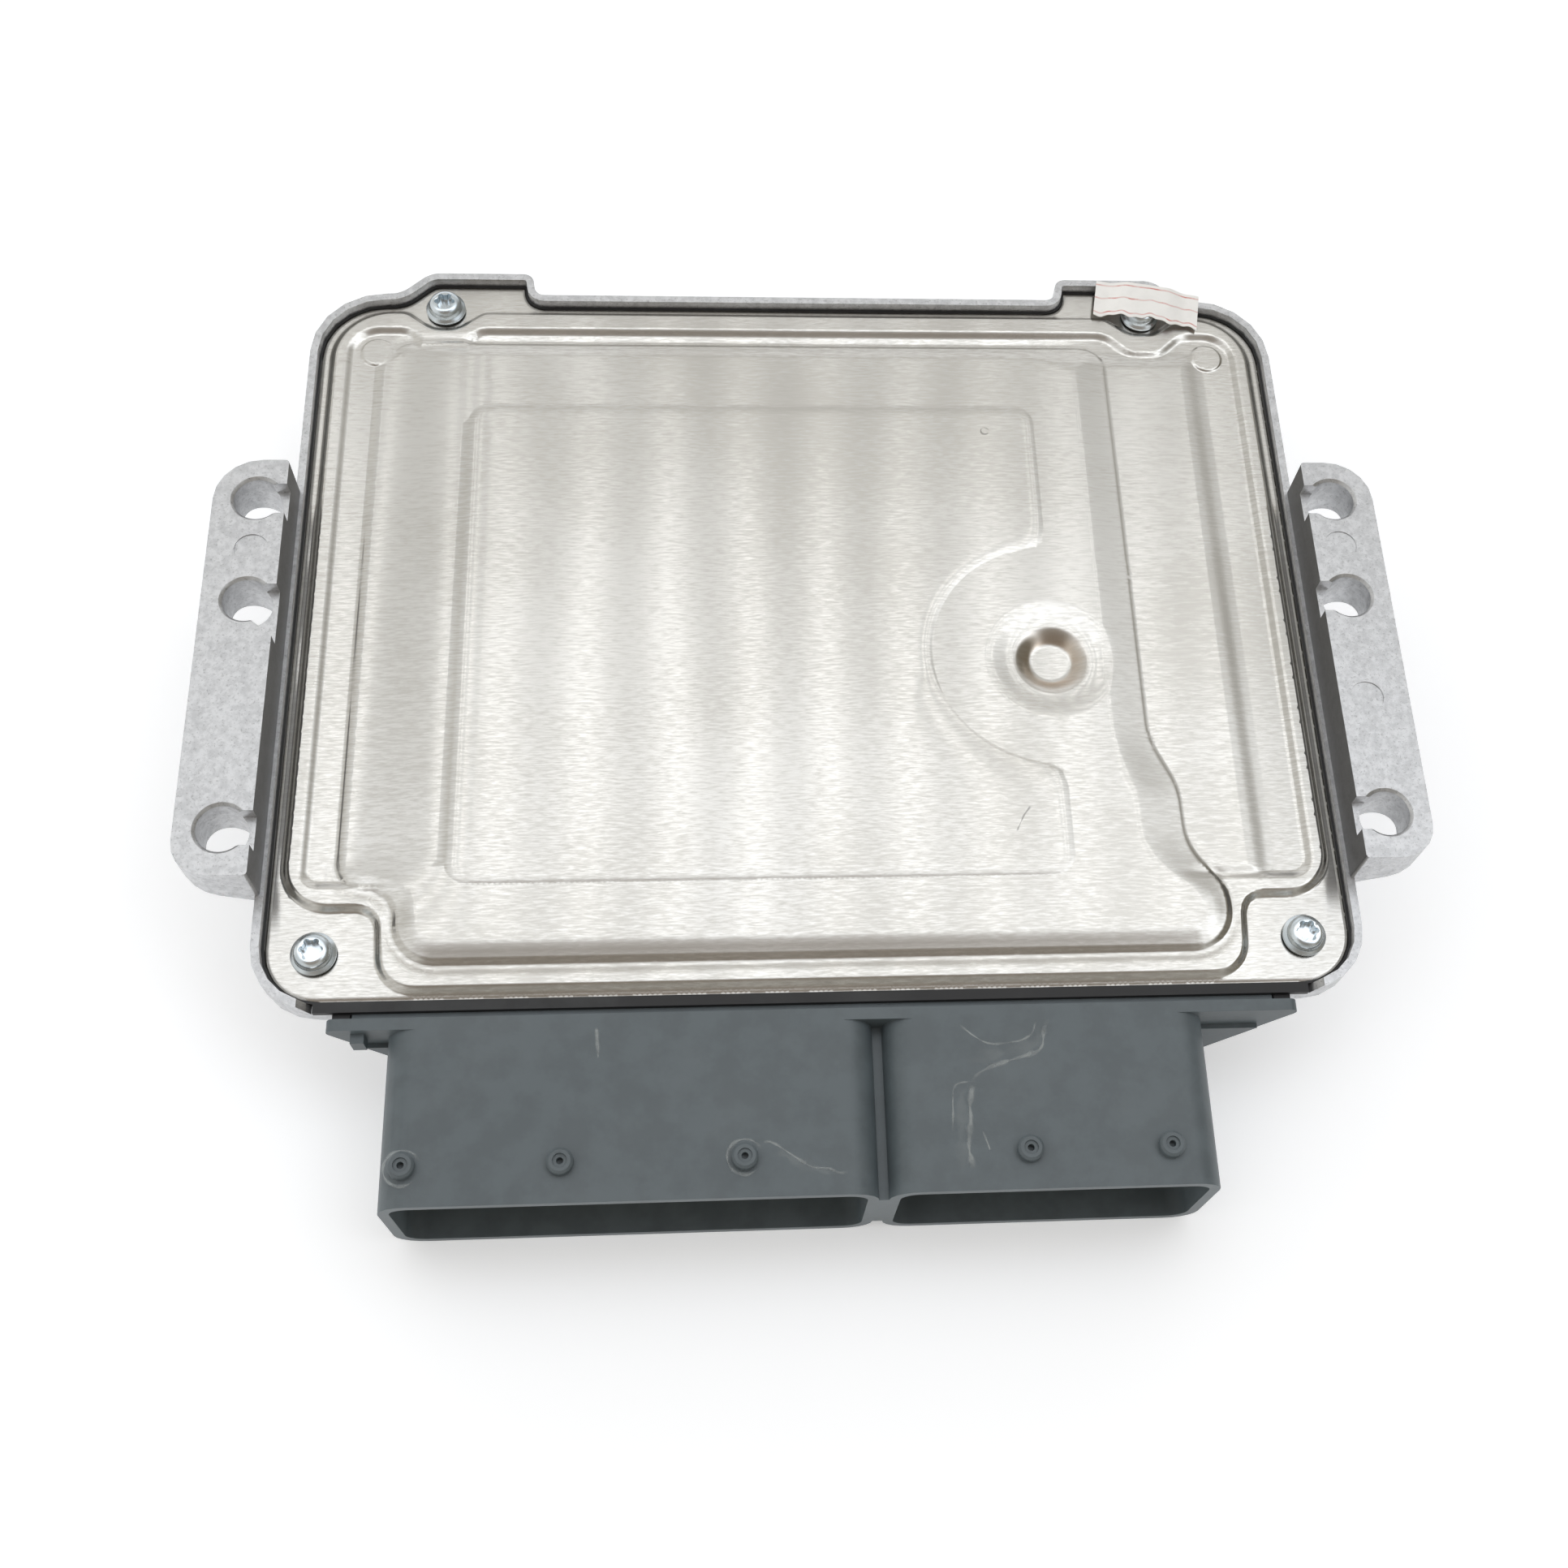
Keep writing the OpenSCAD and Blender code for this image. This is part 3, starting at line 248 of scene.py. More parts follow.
class EffectLibrary:
    """Builds each shared node group once and places it in materials."""

    def __init__(self) -> None:
        """Starts with no group built."""
        self._groups: dict[Effect, bpy.types.NodeTree] = {}
        self._builders: dict[Effect, Callable[[], bpy.types.NodeTree]] = {
            Effect.GRAIN: self._grain,
            Effect.MOTTLE: self._mottle,
            Effect.DUST: self._dust,
        }

    def use(self, tree: ShaderTree, effect: Effect, *inputs: Source) -> list[Socket]:
        """Places an effect in a material.

        Args:
            tree: The material's tree.
            effect: Which effect.
            *inputs: Values for the group's inputs, in their order.

        Returns:
            The group's outputs.
        """
        if effect not in self._groups:
            self._groups[effect] = self._builders[effect]()
        return list(tree.fed(tree.add("ShaderNodeGroup", node_tree=self._groups[effect]), *inputs).outputs)

    @staticmethod
    def _start(effect: Effect, inputs: dict[str, str], outputs: Sequence[str]) -> tuple[ShaderTree, list[Socket]]:
        """Starts a group with its sockets.

        Args:
            effect: The effect, whose value names the group.
            inputs: Kind of socket by input name.
            outputs: Names of the value outputs.

        Returns:
            The group's tree, and the sockets that give its inputs.
        """
        group = bpy.data.node_groups.new(effect.value, "ShaderNodeTree")
        for name, kind in inputs.items():
            group.interface.new_socket(name=name, in_out="INPUT", socket_type=f"NodeSocket{kind}")
        for name in outputs:
            group.interface.new_socket(name=name, in_out="OUTPUT", socket_type="NodeSocketFloat")
        tree = ShaderTree(group)
        return tree, list(tree.add("NodeGroupInput").outputs)

    @staticmethod
    def _finish(tree: ShaderTree, *made: Socket) -> bpy.types.NodeTree:
        """Feeds a group's outputs in their order and returns the finished group."""
        tree.fed(tree.add("NodeGroupOutput"), *made)
        return tree.tree

    def _grain(self) -> bpy.types.NodeTree:
        """Builds straight rolling grain: fine lines, broader bands and soft clouds.

        Returns:
            The group.
        """
        inputs = {"Frequency": "Vector", "Cloud Scale": "Float"}
        tree, (frequency, cloud_scale, *_) = self._start(Effect.GRAIN, inputs, ("Line", "Band", "Cloud"))
        place = tree.place()
        lines = tree.fed(tree.add("ShaderNodeVectorMath", operation="MULTIPLY"), place, frequency).outputs[0]
        return self._finish(
            tree,
            tree.noise(lines, 1.0, detail=2.0, roughness=0.7),
            tree.noise(lines, 0.16, detail=3.0, roughness=0.6),
            tree.noise(place, cloud_scale, detail=2.0, roughness=0.5),
        )

    def _mottle(self) -> bpy.types.NodeTree:
        """Builds the mottle of cast or moulded skin: soft patches, dark specks and a fine relief.

        Returns:
            The group.
        """
        tree, (scale, *_) = self._start(Effect.MOTTLE, {"Scale": "Float"}, ("Patch", "Speck", "Relief"))
        place = tree.place()
        speck = tree.noise(place, tree.product(scale, 2.6), detail=5.0, roughness=0.75)
        return self._finish(
            tree,
            tree.noise(place, scale, detail=4.0, roughness=0.6),
            tree.span(speck, 0.55, 0.63),
            tree.noise(place, tree.product(scale, 6.0), detail=4.0, roughness=0.65),
        )

    def _dust(self) -> bpy.types.NodeTree:
        """Builds dust that settles on faces which look up.

        Returns:
            The group.
        """
        tree, (scale, amount, *_) = self._start(Effect.DUST, {"Scale": "Float", "Amount": "Float"}, ("Mask",))
        upward = tree.span(tree.axes(tree.normal("Normal"))[2], 0.2, 0.95)
        cloud = tree.span(tree.noise(tree.place(), scale, detail=5.0, roughness=0.62), 0.42, 0.78)
        return self._finish(tree, tree.product(upward, cloud, amount))


EFFECTS = EffectLibrary()


# Finishes


@dataclass(frozen=True)
class Finish:
    """A material with a name; each kind of surface extends it."""

    name: str

    def make(self) -> bpy.types.Material:
        """Builds the material.

        Returns:
            The material, with its shader complete.
        """
        material = bpy.data.materials.new(self.name)
        material.use_nodes = True
        tree = ShaderTree(material.node_tree)
        shader = tree.add("ShaderNodeBsdfPrincipled")
        tree.feed(tree.add("ShaderNodeOutputMaterial").inputs["Surface"], shader.outputs[0])
        for name, source in self.sockets(tree).items():
            tree.feed(shader.inputs[name], source)
        return material

    def sockets(self, tree: ShaderTree) -> dict[str, Source]:
        """Returns what the shader's inputs get, by name; each finish has its own way."""
        raise NotImplementedError


@dataclass(frozen=True)
class PressedSheet(Finish):
    """Rolled sheet metal with a straight grain along X, pressed to shape."""

    light: Rgb = (0.68, 0.67, 0.642)
    warm: Rgb = (0.552, 0.537, 0.502)
    tone_span: Span = (0.36, 0.64)
    line_share: float = 0.55
    line_frequency: tuple[float, float, float] = (420.0, 2600.0, 420.0)
    line_depth: float = 0.0016
    cloud_scale: float = 26.0
    roughness: float = 0.20
    line_roughness: float = 0.10
    band_roughness: float = 0.03
    anisotropy: float = 1.0
    vent: Place = (0.0, 0.0)
    # Painted reflection: brown in the vent's dish stands in for the dark surround that its walls reflect.
    painted_dish_reflection: Rgb = (0.50, 0.42, 0.34)
    dish_reflection_reach: tuple[float, float, float] = (3.5 * MM, 4.2 * MM, 7.4 * MM)
    dish_reflection_patches: tuple[float, float, float] = (0.3, 0.7, 0.55)

    def sockets(self, tree: ShaderTree) -> dict[str, Source]:
        """Shades rolled sheet with its grain and the brown reflection painted in the vent's dish.

        Args:
            tree: The material's tree.

        Returns:
            What the shader's inputs get, by name.
        """
        line, band, cloud = EFFECTS.use(tree, Effect.GRAIN, self.line_frequency, self.cloud_scale)
        clouded = tree.product(cloud, 1.0 - self.line_share)
        tone = tree.span(tree.math("MULTIPLY_ADD", line, self.line_share, clouded), *self.tone_span)
        colour = tree.blend(tone, self.light, self.warm)
        tangent = tree.add("ShaderNodeTangent", direction_type="UV_MAP", uv_map=GRAIN_MAP)
        return {
            # The vent's dish gets the painted brown reflection.
            "Base Color": tree.blend(self._painted_reflection_mask(tree, band), colour, self.painted_dish_reflection),
            "Metallic": 1.0,
            "Roughness": tree.uneven(self.roughness, (line, self.line_roughness), (band, self.band_roughness)),
            "Anisotropic": self.anisotropy,
            "Tangent": tangent.outputs[0],
            "Normal": tree.relief(line, self.line_depth),
        }

    def _painted_reflection_mask(self, tree: ShaderTree, band: Socket) -> Socket:
        """Masks the brown ring in the vent's dish, a painted reflection of the dark surround on the dish's walls.

        Args:
            tree: The material's tree.
            band: The grain's bands, which break the painted reflection up.

        Returns:
            The mask's socket.
        """
        away = tree.length(*(tree.math("SUBTRACT", *pair) for pair in zip(tree.axes(tree.place()), self.vent)))
        hole, inner, outer = self.dish_reflection_reach
        dish = tree.product(tree.span(away, inner, outer, 1.0, 0.0), tree.span(away, hole, inner))
        return tree.product(dish, tree.span(band, *self.dish_reflection_patches))


@dataclass(frozen=True)
class CastSkin(Finish):
    """Die-cast alloy as it leaves the mould: dull, mottled, with dark specks and a fine relief; the ears' inner faces
    get painted shade.
    """

    light: Rgb = (0.65, 0.655, 0.665)
    dark: Rgb = (0.53, 0.535, 0.545)
    patch_span: Span = (0.34, 0.66)
    speck: Rgb = (0.18, 0.18, 0.185)
    speck_share: float = 0.4
    scale: float = 760.0
    relief_depth: float = 0.06
    roughness: float = 0.42
    relief_roughness: float = 0.22
    metallic: float = 0.95
    # Painted shade: the ears' inner faces beside the rim are darkened in colour for the shade of that narrow gap.
    painted_shade: Rgb = (0.07, 0.07, 0.073)
    painted_shade_share: float = 0.85
    painted_shade_facing: Span = (-0.08, -0.05)
    painted_shade_above: Span = (27.5 * MM, 28.5 * MM)
    painted_shade_within: Span = (91.7 * MM, 92.0 * MM)

    def sockets(self, tree: ShaderTree) -> dict[str, Source]:
        """Shades cast skin with its specks and the painted shade on the ears' inner faces.

        Args:
            tree: The material's tree.

        Returns:
            What the shader's inputs get, by name.
        """
        patch, speck, relief = EFFECTS.use(tree, Effect.MOTTLE, self.scale)
        colour = tree.blend(tree.span(patch, *self.patch_span), self.light, self.dark)
        colour = tree.blend(tree.product(speck, self.speck_share), colour, self.speck)
        return {
            # Painted shade on the ears' inner faces, blended into the base colour.
            "Base Color": tree.blend(self._painted_shade_mask(tree), colour, self.painted_shade),
            "Metallic": self.metallic,
            "Roughness": tree.uneven(self.roughness, (relief, self.relief_roughness)),
            "Normal": tree.relief(relief, self.relief_depth),
        }

    def _painted_shade_mask(self, tree: ShaderTree) -> Socket:
        """Masks the unmachined inner faces of the ears, which get painted shade for the dark narrow gap beside the rim.

        Args:
            tree: The material's tree.

        Returns:
            The mask's socket.
        """
        x, _, z = tree.axes(tree.place())
        facing = tree.axes(tree.normal("True Normal"))[0]
        inward = tree.span(tree.product(facing, x), *self.painted_shade_facing, 1.0, 0.0)
        within = tree.span(tree.math("ABSOLUTE", x), *self.painted_shade_within, 1.0, 0.0)
        return tree.product(inward, tree.span(z, *self.painted_shade_above), within, self.painted_shade_share)


@dataclass(frozen=True)
class MouldedSkin(Finish):
    """Moulded plastic or rubber with a fine skin and some settled dust."""

    colour: Rgb
    dust_amount: float = 0.05
    roughness: float = 0.46
    scale: float = 160.0
    lift: float = 1.2
    lightest: float = 0.96
    patch_span: Span = (0.35, 0.65)
    patch_roughness: float = 0.14
    relief_depth: float = 0.05
    dust: Rgb = (0.32, 0.34, 0.35)
    dust_scale: float = 0.35
    dust_roughness: float = 0.3

    def sockets(self, tree: ShaderTree) -> dict[str, Source]:
        """Shades moulded skin under its dust.

        Args:
            tree: The material's tree.

        Returns:
            What the shader's inputs get, by name.
        """
        patch, _, relief = EFFECTS.use(tree, Effect.MOTTLE, self.scale)
        dust, = EFFECTS.use(tree, Effect.DUST, self.scale * self.dust_scale, self.dust_amount)
        lifted = tuple(min(self.lightest, self.lift * part) for part in self.colour)
        clean = tree.blend(tree.span(patch, *self.patch_span), self.colour, lifted)
        rough = tree.uneven(self.roughness, (patch, self.patch_roughness))
        return {
            "Base Color": tree.blend(dust, clean, self.dust),
            "Roughness": tree.math("MULTIPLY_ADD", dust, self.dust_roughness, rough),
            "Normal": tree.relief(relief, self.relief_depth),
        }


@dataclass(frozen=True)
class PlatedMetal(Finish):
    """Plated or drawn metal: bright, with faint grain and soft clouds of tarnish."""

    light: Rgb
    dull: Rgb
    roughness: float = 0.2
    line_frequency: tuple[float, float, float] = (900.0, 900.0, 900.0)
    line_roughness: float = 0.14
    line_depth: float = 0.01
    cloud_scale: float = 240.0
    cloud_span: Span = (0.36, 0.66)
    cloud_roughness: float = 0.1

    def sockets(self, tree: ShaderTree) -> dict[str, Source]:
        """Shades plate with its grain and tarnish.

        Args:
            tree: The material's tree.

        Returns:
            What the shader's inputs get, by name.
        """
        line, _, cloud = EFFECTS.use(tree, Effect.GRAIN, self.line_frequency, self.cloud_scale)
        tarnish = tree.span(cloud, *self.cloud_span)
        rough = tree.uneven(self.roughness, (line, self.line_roughness))
        return {
            "Base Color": tree.blend(tarnish, self.light, self.dull),
            "Metallic": 1.0,
            "Roughness": tree.math("MULTIPLY_ADD", tarnish, self.cloud_roughness, rough),
            "Normal": tree.relief(line, self.line_depth),
        }


@dataclass(frozen=True)
class RuledPaper(Finish):
    """Thin paper with a fibre texture and ruled lines along its length."""

    paper: Rgb = (0.985, 0.975, 0.95)
    aged: float = 0.93
    aged_span: tuple[float, float, float, float] = (0.4, 0.7, 0.0, 0.7)
    ruling: Rgb = (0.62, 0.13, 0.10)
    line_places: tuple[float, ...] = (0.10, 0.52, 0.90)
    line_width: float = 0.028
    line_core: float = 0.35
    worn_span: tuple[float, float, float, float] = (0.3, 0.6, 0.9, 0.35)
    rough_span: tuple[float, float, float, float] = (0.2, 0.8, 0.55, 0.8)
    fibre_scale: float = 420.0
    fibre_depth: float = 0.02

    def sockets(self, tree: ShaderTree) -> dict[str, Source]:
        """Shades aged paper and its worn lines.

        Args:
            tree: The material's tree.

        Returns:
            What the shader's inputs get, by name.
        """
        patch, _, relief = EFFECTS.use(tree, Effect.MOTTLE, self.fibre_scale)
        across = tree.axes(tree.add("ShaderNodeUVMap", uv_map=RULING_MAP).outputs[0])[1]
        ruled: Source = 0.0
        for place in self.line_places:
            away = tree.math("ABSOLUTE", tree.math("SUBTRACT", across, place))
            line = tree.span(away, self.line_width * self.line_core, self.line_width, 1.0, 0.0)
            ruled = tree.math("MAXIMUM", ruled, line)
        worn = tree.product(ruled, tree.span(patch, *self.worn_span))
        aged = tuple(self.aged * part for part in self.paper)
        sheet = tree.blend(tree.span(patch, *self.aged_span), self.paper, aged)
        return {
            "Base Color": tree.blend(worn, sheet, self.ruling),
            "Roughness": tree.span(relief, *self.rough_span),
            "Normal": tree.relief(relief, self.fibre_depth),
        }


@dataclass(frozen=True)
class DriedFilm(Finish):
    """A thin and broken film, such as dried water leaves, that fades at its sides and ends."""

    colour: Rgb = (0.42, 0.45, 0.45)
    strongest: float = 0.52
    lift: float = 1.3
    roughness: float = 0.8
    patch_scale: float = 320.0
    broken_span: tuple[float, float, float] = (0.30, 0.62, 0.3)
    fade_from: Place = (0.38, 0.12)

    def sockets(self, tree: ShaderTree) -> dict[str, Source]:
        """Shades a film that is broken and fades at its sides and ends.

        Args:
            tree: The material's tree.

        Returns:
            What the shader's inputs get, by name.
        """
        patch = EFFECTS.use(tree, Effect.MOTTLE, self.patch_scale)[0]
        alpha = tree.span(patch, *self.broken_span)
        where = tree.axes(tree.add("ShaderNodeUVMap", uv_map=FILM_MAP).outputs[0])
        for part, start in zip(where, self.fade_from):
            away = tree.math("ABSOLUTE", tree.math("SUBTRACT", part, 0.5))
            alpha = tree.product(alpha, tree.span(away, start, 0.5, 1.0, 0.0))
        lifted = tuple(self.lift * part for part in self.colour)
        return {
            "Base Color": tree.blend(patch, self.colour, lifted),
            "Roughness": self.roughness,
            "Alpha": tree.product(alpha, self.strongest),
        }


# Geometry helpers


def smooth(share: float | np.ndarray) -> float | np.ndarray:
    """Eases a share from 0 to 1 and holds it there outside that range."""
    t = np.clip(share, 0.0, 1.0)
    return t * t * (3 - 2 * t)


def circle(centre: Place, radius: float, angles: np.ndarray) -> np.ndarray:
    """Returns the places on a circle at some angles."""
    return np.array(centre) + radius * np.stack([np.cos(angles), np.sin(angles)], axis=1)


@dataclass
class RoundedOutline:
    """A closed anticlockwise outline of corners, each with its own radius, in millimetres."""

    corners: list[Corner]
    least_radius: float = 0.1
    arc_pieces: int = 4
    reach_step: float = 1.2
    batch: int = 4000

    def _frames(self) -> Iterable[tuple[np.ndarray, np.ndarray, np.ndarray, float, float]]:
        """Goes round the corners.

        Yields:
            Each corner's place, directions in and out, turn (signed) and radius.
        """
        places = np.array([c[:2] for c in self.corners])
        for i, corner in enumerate(self.corners):
            before = places[i] - places[i - 1]
            after = places[(i + 1) % len(places)] - places[i]
            into = before / np.linalg.norm(before)
            out = after / np.linalg.norm(after)
            turn = math.atan2(into[0] * out[1] - into[1] * out[0], float(into @ out))
            yield places[i], into, out, turn, corner[2]

    def grown(self, offset: float) -> RoundedOutline:
        """Moves every side outwards and keeps the arcs concentric.

        Args:
            offset: Distance in millimetres; negative moves inwards.

        Returns:
            The grown outline.
        """
        corners: list[Corner] = []
        for place, into, out, turn, radius in self._frames():
            n1 = np.array((into[1], -into[0]))
            n2 = np.array((out[1], -out[0]))
            moved = place + offset * (n1 + n2) / (1.0 + n1 @ n2)
            corners.append((*moved, max(self.least_radius, radius + math.copysign(offset, offset * turn))))
        return RoundedOutline(corners)

    def rails(self, step: float) -> Graded:
        """Walks the outline.

        Args:
            step: Longest distance between neighbouring points.

        Returns:
            The points and their outward normals, one row each.
        """
        path: list[np.ndarray] = []
        normals: list[np.ndarray] = []
        for place, into, _, turn, radius in self._frames():
            start = place - into * radius * math.tan(abs(turn) / 2)
            side = math.copysign(1.0, turn)
            centre = start + side * radius * np.array((-into[1], into[0]))
            first = math.atan2(start[1] - centre[1], start[0] - centre[0])
            pieces = max(self.arc_pieces, math.ceil(radius * abs(turn) / step))
            for k in range(pieces + 1):
                angle = first + turn * k / pieces
                radial = np.array((math.cos(angle), math.sin(angle)))
                path.append(centre + radius * radial)
                normals.append(side * radial)
        points: list[np.ndarray] = []
        outward: list[np.ndarray] = []
        for i, (a, n) in enumerate(zip(path, normals)):
            b = path[(i + 1) % len(path)]
            count = max(1, math.ceil(float(np.linalg.norm(b - a)) / step))
            points.extend(a + (b - a) * k / count for k in range(count))
            outward.extend([n] * count)
        return np.array(points), np.array(outward)

    def points(self, step: float) -> np.ndarray:
        """Returns points along the outline, at most a step apart."""
        return self.rails(step)[0]

    def contours(self, step: float, offsets: Iterable[float]) -> list[np.ndarray]:
        """Returns copies of the outline, moved outwards by each offset, with their points in line."""
        points, outward = self.rails(step)
        return [points + offset * outward for offset in offsets]

    def reach(self, places: np.ndarray) -> Graded:
        """Measures how far inside the outline each place lies.

        Args:
            places: Places in the plane, one row each.

        Returns:
            The signed depth (positive inside) and its gradient at each place.
        """
        a = self.points(self.reach_step)
        b = np.roll(a, -1, axis=0)
        side = b - a
        length2 = (side**2).sum(1)
        rise = np.where(np.abs(side[:, 1]) < 1e-12, 1e-12, side[:, 1])
        depth = np.empty(len(places))
        slope = np.empty((len(places), 2))
        for low in range(0, len(places), self.batch):
            part = slice(low, low + self.batch)
            p = places[part]
            to = p[:, None, :] - a[None]
            share = np.clip((to * side[None]).sum(2) / length2[None], 0.0, 1.0)
            near = to - share[:, :, None] * side[None]
            d2 = (near**2).sum(2)
            pick = d2.argmin(1)
            rows = np.arange(len(p))
            away = np.sqrt(d2[rows, pick])
            over = (a[None, :, 1] > p[:, None, 1]) != (b[None, :, 1] > p[:, None, 1])
            cross_x = a[None, :, 0] + (p[:, None, 1] - a[None, :, 1]) * (side[:, 0] / rise)[None]
            inside = (over & (p[:, None, 0] < cross_x)).sum(1) % 2 == 1
            sign = np.where(inside, 1.0, -1.0)
            depth[part] = sign * away
            slope[part] = sign[:, None] * near[rows, pick] / np.maximum(away, TINY)[:, None]
        return depth, slope


@dataclass
class Relief:
    """Heights of a pressed sheet over a set of places, with their slopes."""

    places: np.ndarray
    height: np.ndarray
    slope: np.ndarray

    @classmethod
    def flat(cls, places: np.ndarray, level: float) -> Relief:
        """Returns a flat sheet at a level."""
        return cls(places, np.full(len(places), level), np.zeros((len(places), 2)))

    @staticmethod
    def ease(depth: np.ndarray, slope: np.ndarray, run: float | np.ndarray) -> Graded:
        """Turns a distance and its gradient into a share that eases from 0 to 1 over a wall's run."""
        t = np.clip(depth / run, 0.0, 1.0)
        return smooth(t), (6 * t * (1 - t) / run)[:, None] * slope

    @staticmethod
    def shoulder(depth: np.ndarray, slope: np.ndarray, run: np.ndarray) -> Graded:
        """Works like ease, but with a steep foot that ends in a long shoulder."""
        t = 1.0 - np.clip(depth / run, 0.0, 1.0)
        return 1.0 - t**3, np.where(depth > 0, 3 * t * t / run, 0.0)[:, None] * slope

    @staticmethod
    def mixed(part: float | np.ndarray, first: Graded, second: Graded) -> Graded:
        """Mixes the shares and gradients of two walls, the first of which takes a part of the height."""
        column = np.asarray(part)[..., None]
        return part * first[0] + (1 - part) * second[0], column * first[1] + (1 - column) * second[1]

    def settle(
        self, level: float | np.ndarray, share: np.ndarray, slope: np.ndarray, tilt: float | np.ndarray = 0.0
    ) -> None:
        """Draws the sheet towards a level.

        Args:
            level: The level that a share of 1 reaches.
            share: How far each place goes.
            slope: Gradient of the share.
            tilt: Gradient of the level.
        """
        rest = level - self.height
        self.slope = self.slope * (1 - share)[:, None] + rest[:, None] * slope + share[:, None] * tilt
        self.height = self.height + rest * share

    def lower(self, amount: np.ndarray, slope: np.ndarray) -> None:
        """Takes an amount, whose gradient is given, off the height."""
        self.height = self.height - amount
        self.slope = self.slope - slope

    def normals(self) -> np.ndarray:
        """Returns the unit normals of the sheet's top."""
        n = np.concatenate([-self.slope, np.ones((len(self.height), 1))], axis=1)
        return n / np.linalg.norm(n, axis=1, keepdims=True)


def new_piece(name: str, mesh: bpy.types.Mesh, finish: bpy.types.Material) -> bpy.types.Object:
    """Links a mesh as a piece that rides with the unit.

    Args:
        name: The piece's name.
        mesh: Its mesh.
        finish: Its material.

    Returns:
        The new object.
    """
    piece = bpy.data.objects.new(name, mesh)
    bpy.context.scene.collection.objects.link(piece)
    mesh.materials.append(finish)
    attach(piece, ROOT)
    return piece


def marked_mesh(name: str, verts: Sequence[Corner], faces: Sequence, layer: str, marks: np.ndarray) -> bpy.types.Mesh:
    """Makes a smooth mesh with a UV layer.

    Args:
        name: The mesh's name.
        verts: Its vertices in millimetres.
        faces: Vertices of each face.
        layer: The UV layer's name.
        marks: UV place of each vertex.

    Returns:
        The mesh.
    """
    mesh = bpy.data.meshes.new(name)
    mesh.from_pydata((np.asarray(verts) * MM).tolist(), [], faces)
    corners = np.empty(len(mesh.loops), np.int32)
    mesh.loops.foreach_get("vertex_index", corners)
    mesh.uv_layers.new(name=layer).data.foreach_set("uv", np.asarray(marks)[corners].ravel())
    mesh.polygons.foreach_set("use_smooth", [True] * len(mesh.polygons))
    return mesh


def thinned(places: np.ndarray, gap: float) -> np.ndarray:
    """Drops places that lie closer than a gap to one kept before.

    Args:
        places: Places in the plane; earlier rows win.
        gap: Smallest distance.

    Returns:
        The places that are kept.
    """
    cells: dict[tuple[int, int], list[np.ndarray]] = {}
    kept: list[np.ndarray] = []
    for p in places:
        key = (math.floor(p[0] / gap), math.floor(p[1] / gap))
        near = (q for i in (-1, 0, 1) for j in (-1, 0, 1) for q in cells.get((key[0] + i, key[1] + j), ()))
        if all((p[0] - q[0]) ** 2 + (p[1] - q[1]) ** 2 >= gap * gap for q in near):
            cells.setdefault(key, []).append(p)
            kept.append(p)
    return np.array(kept)


# Sub-assemblies


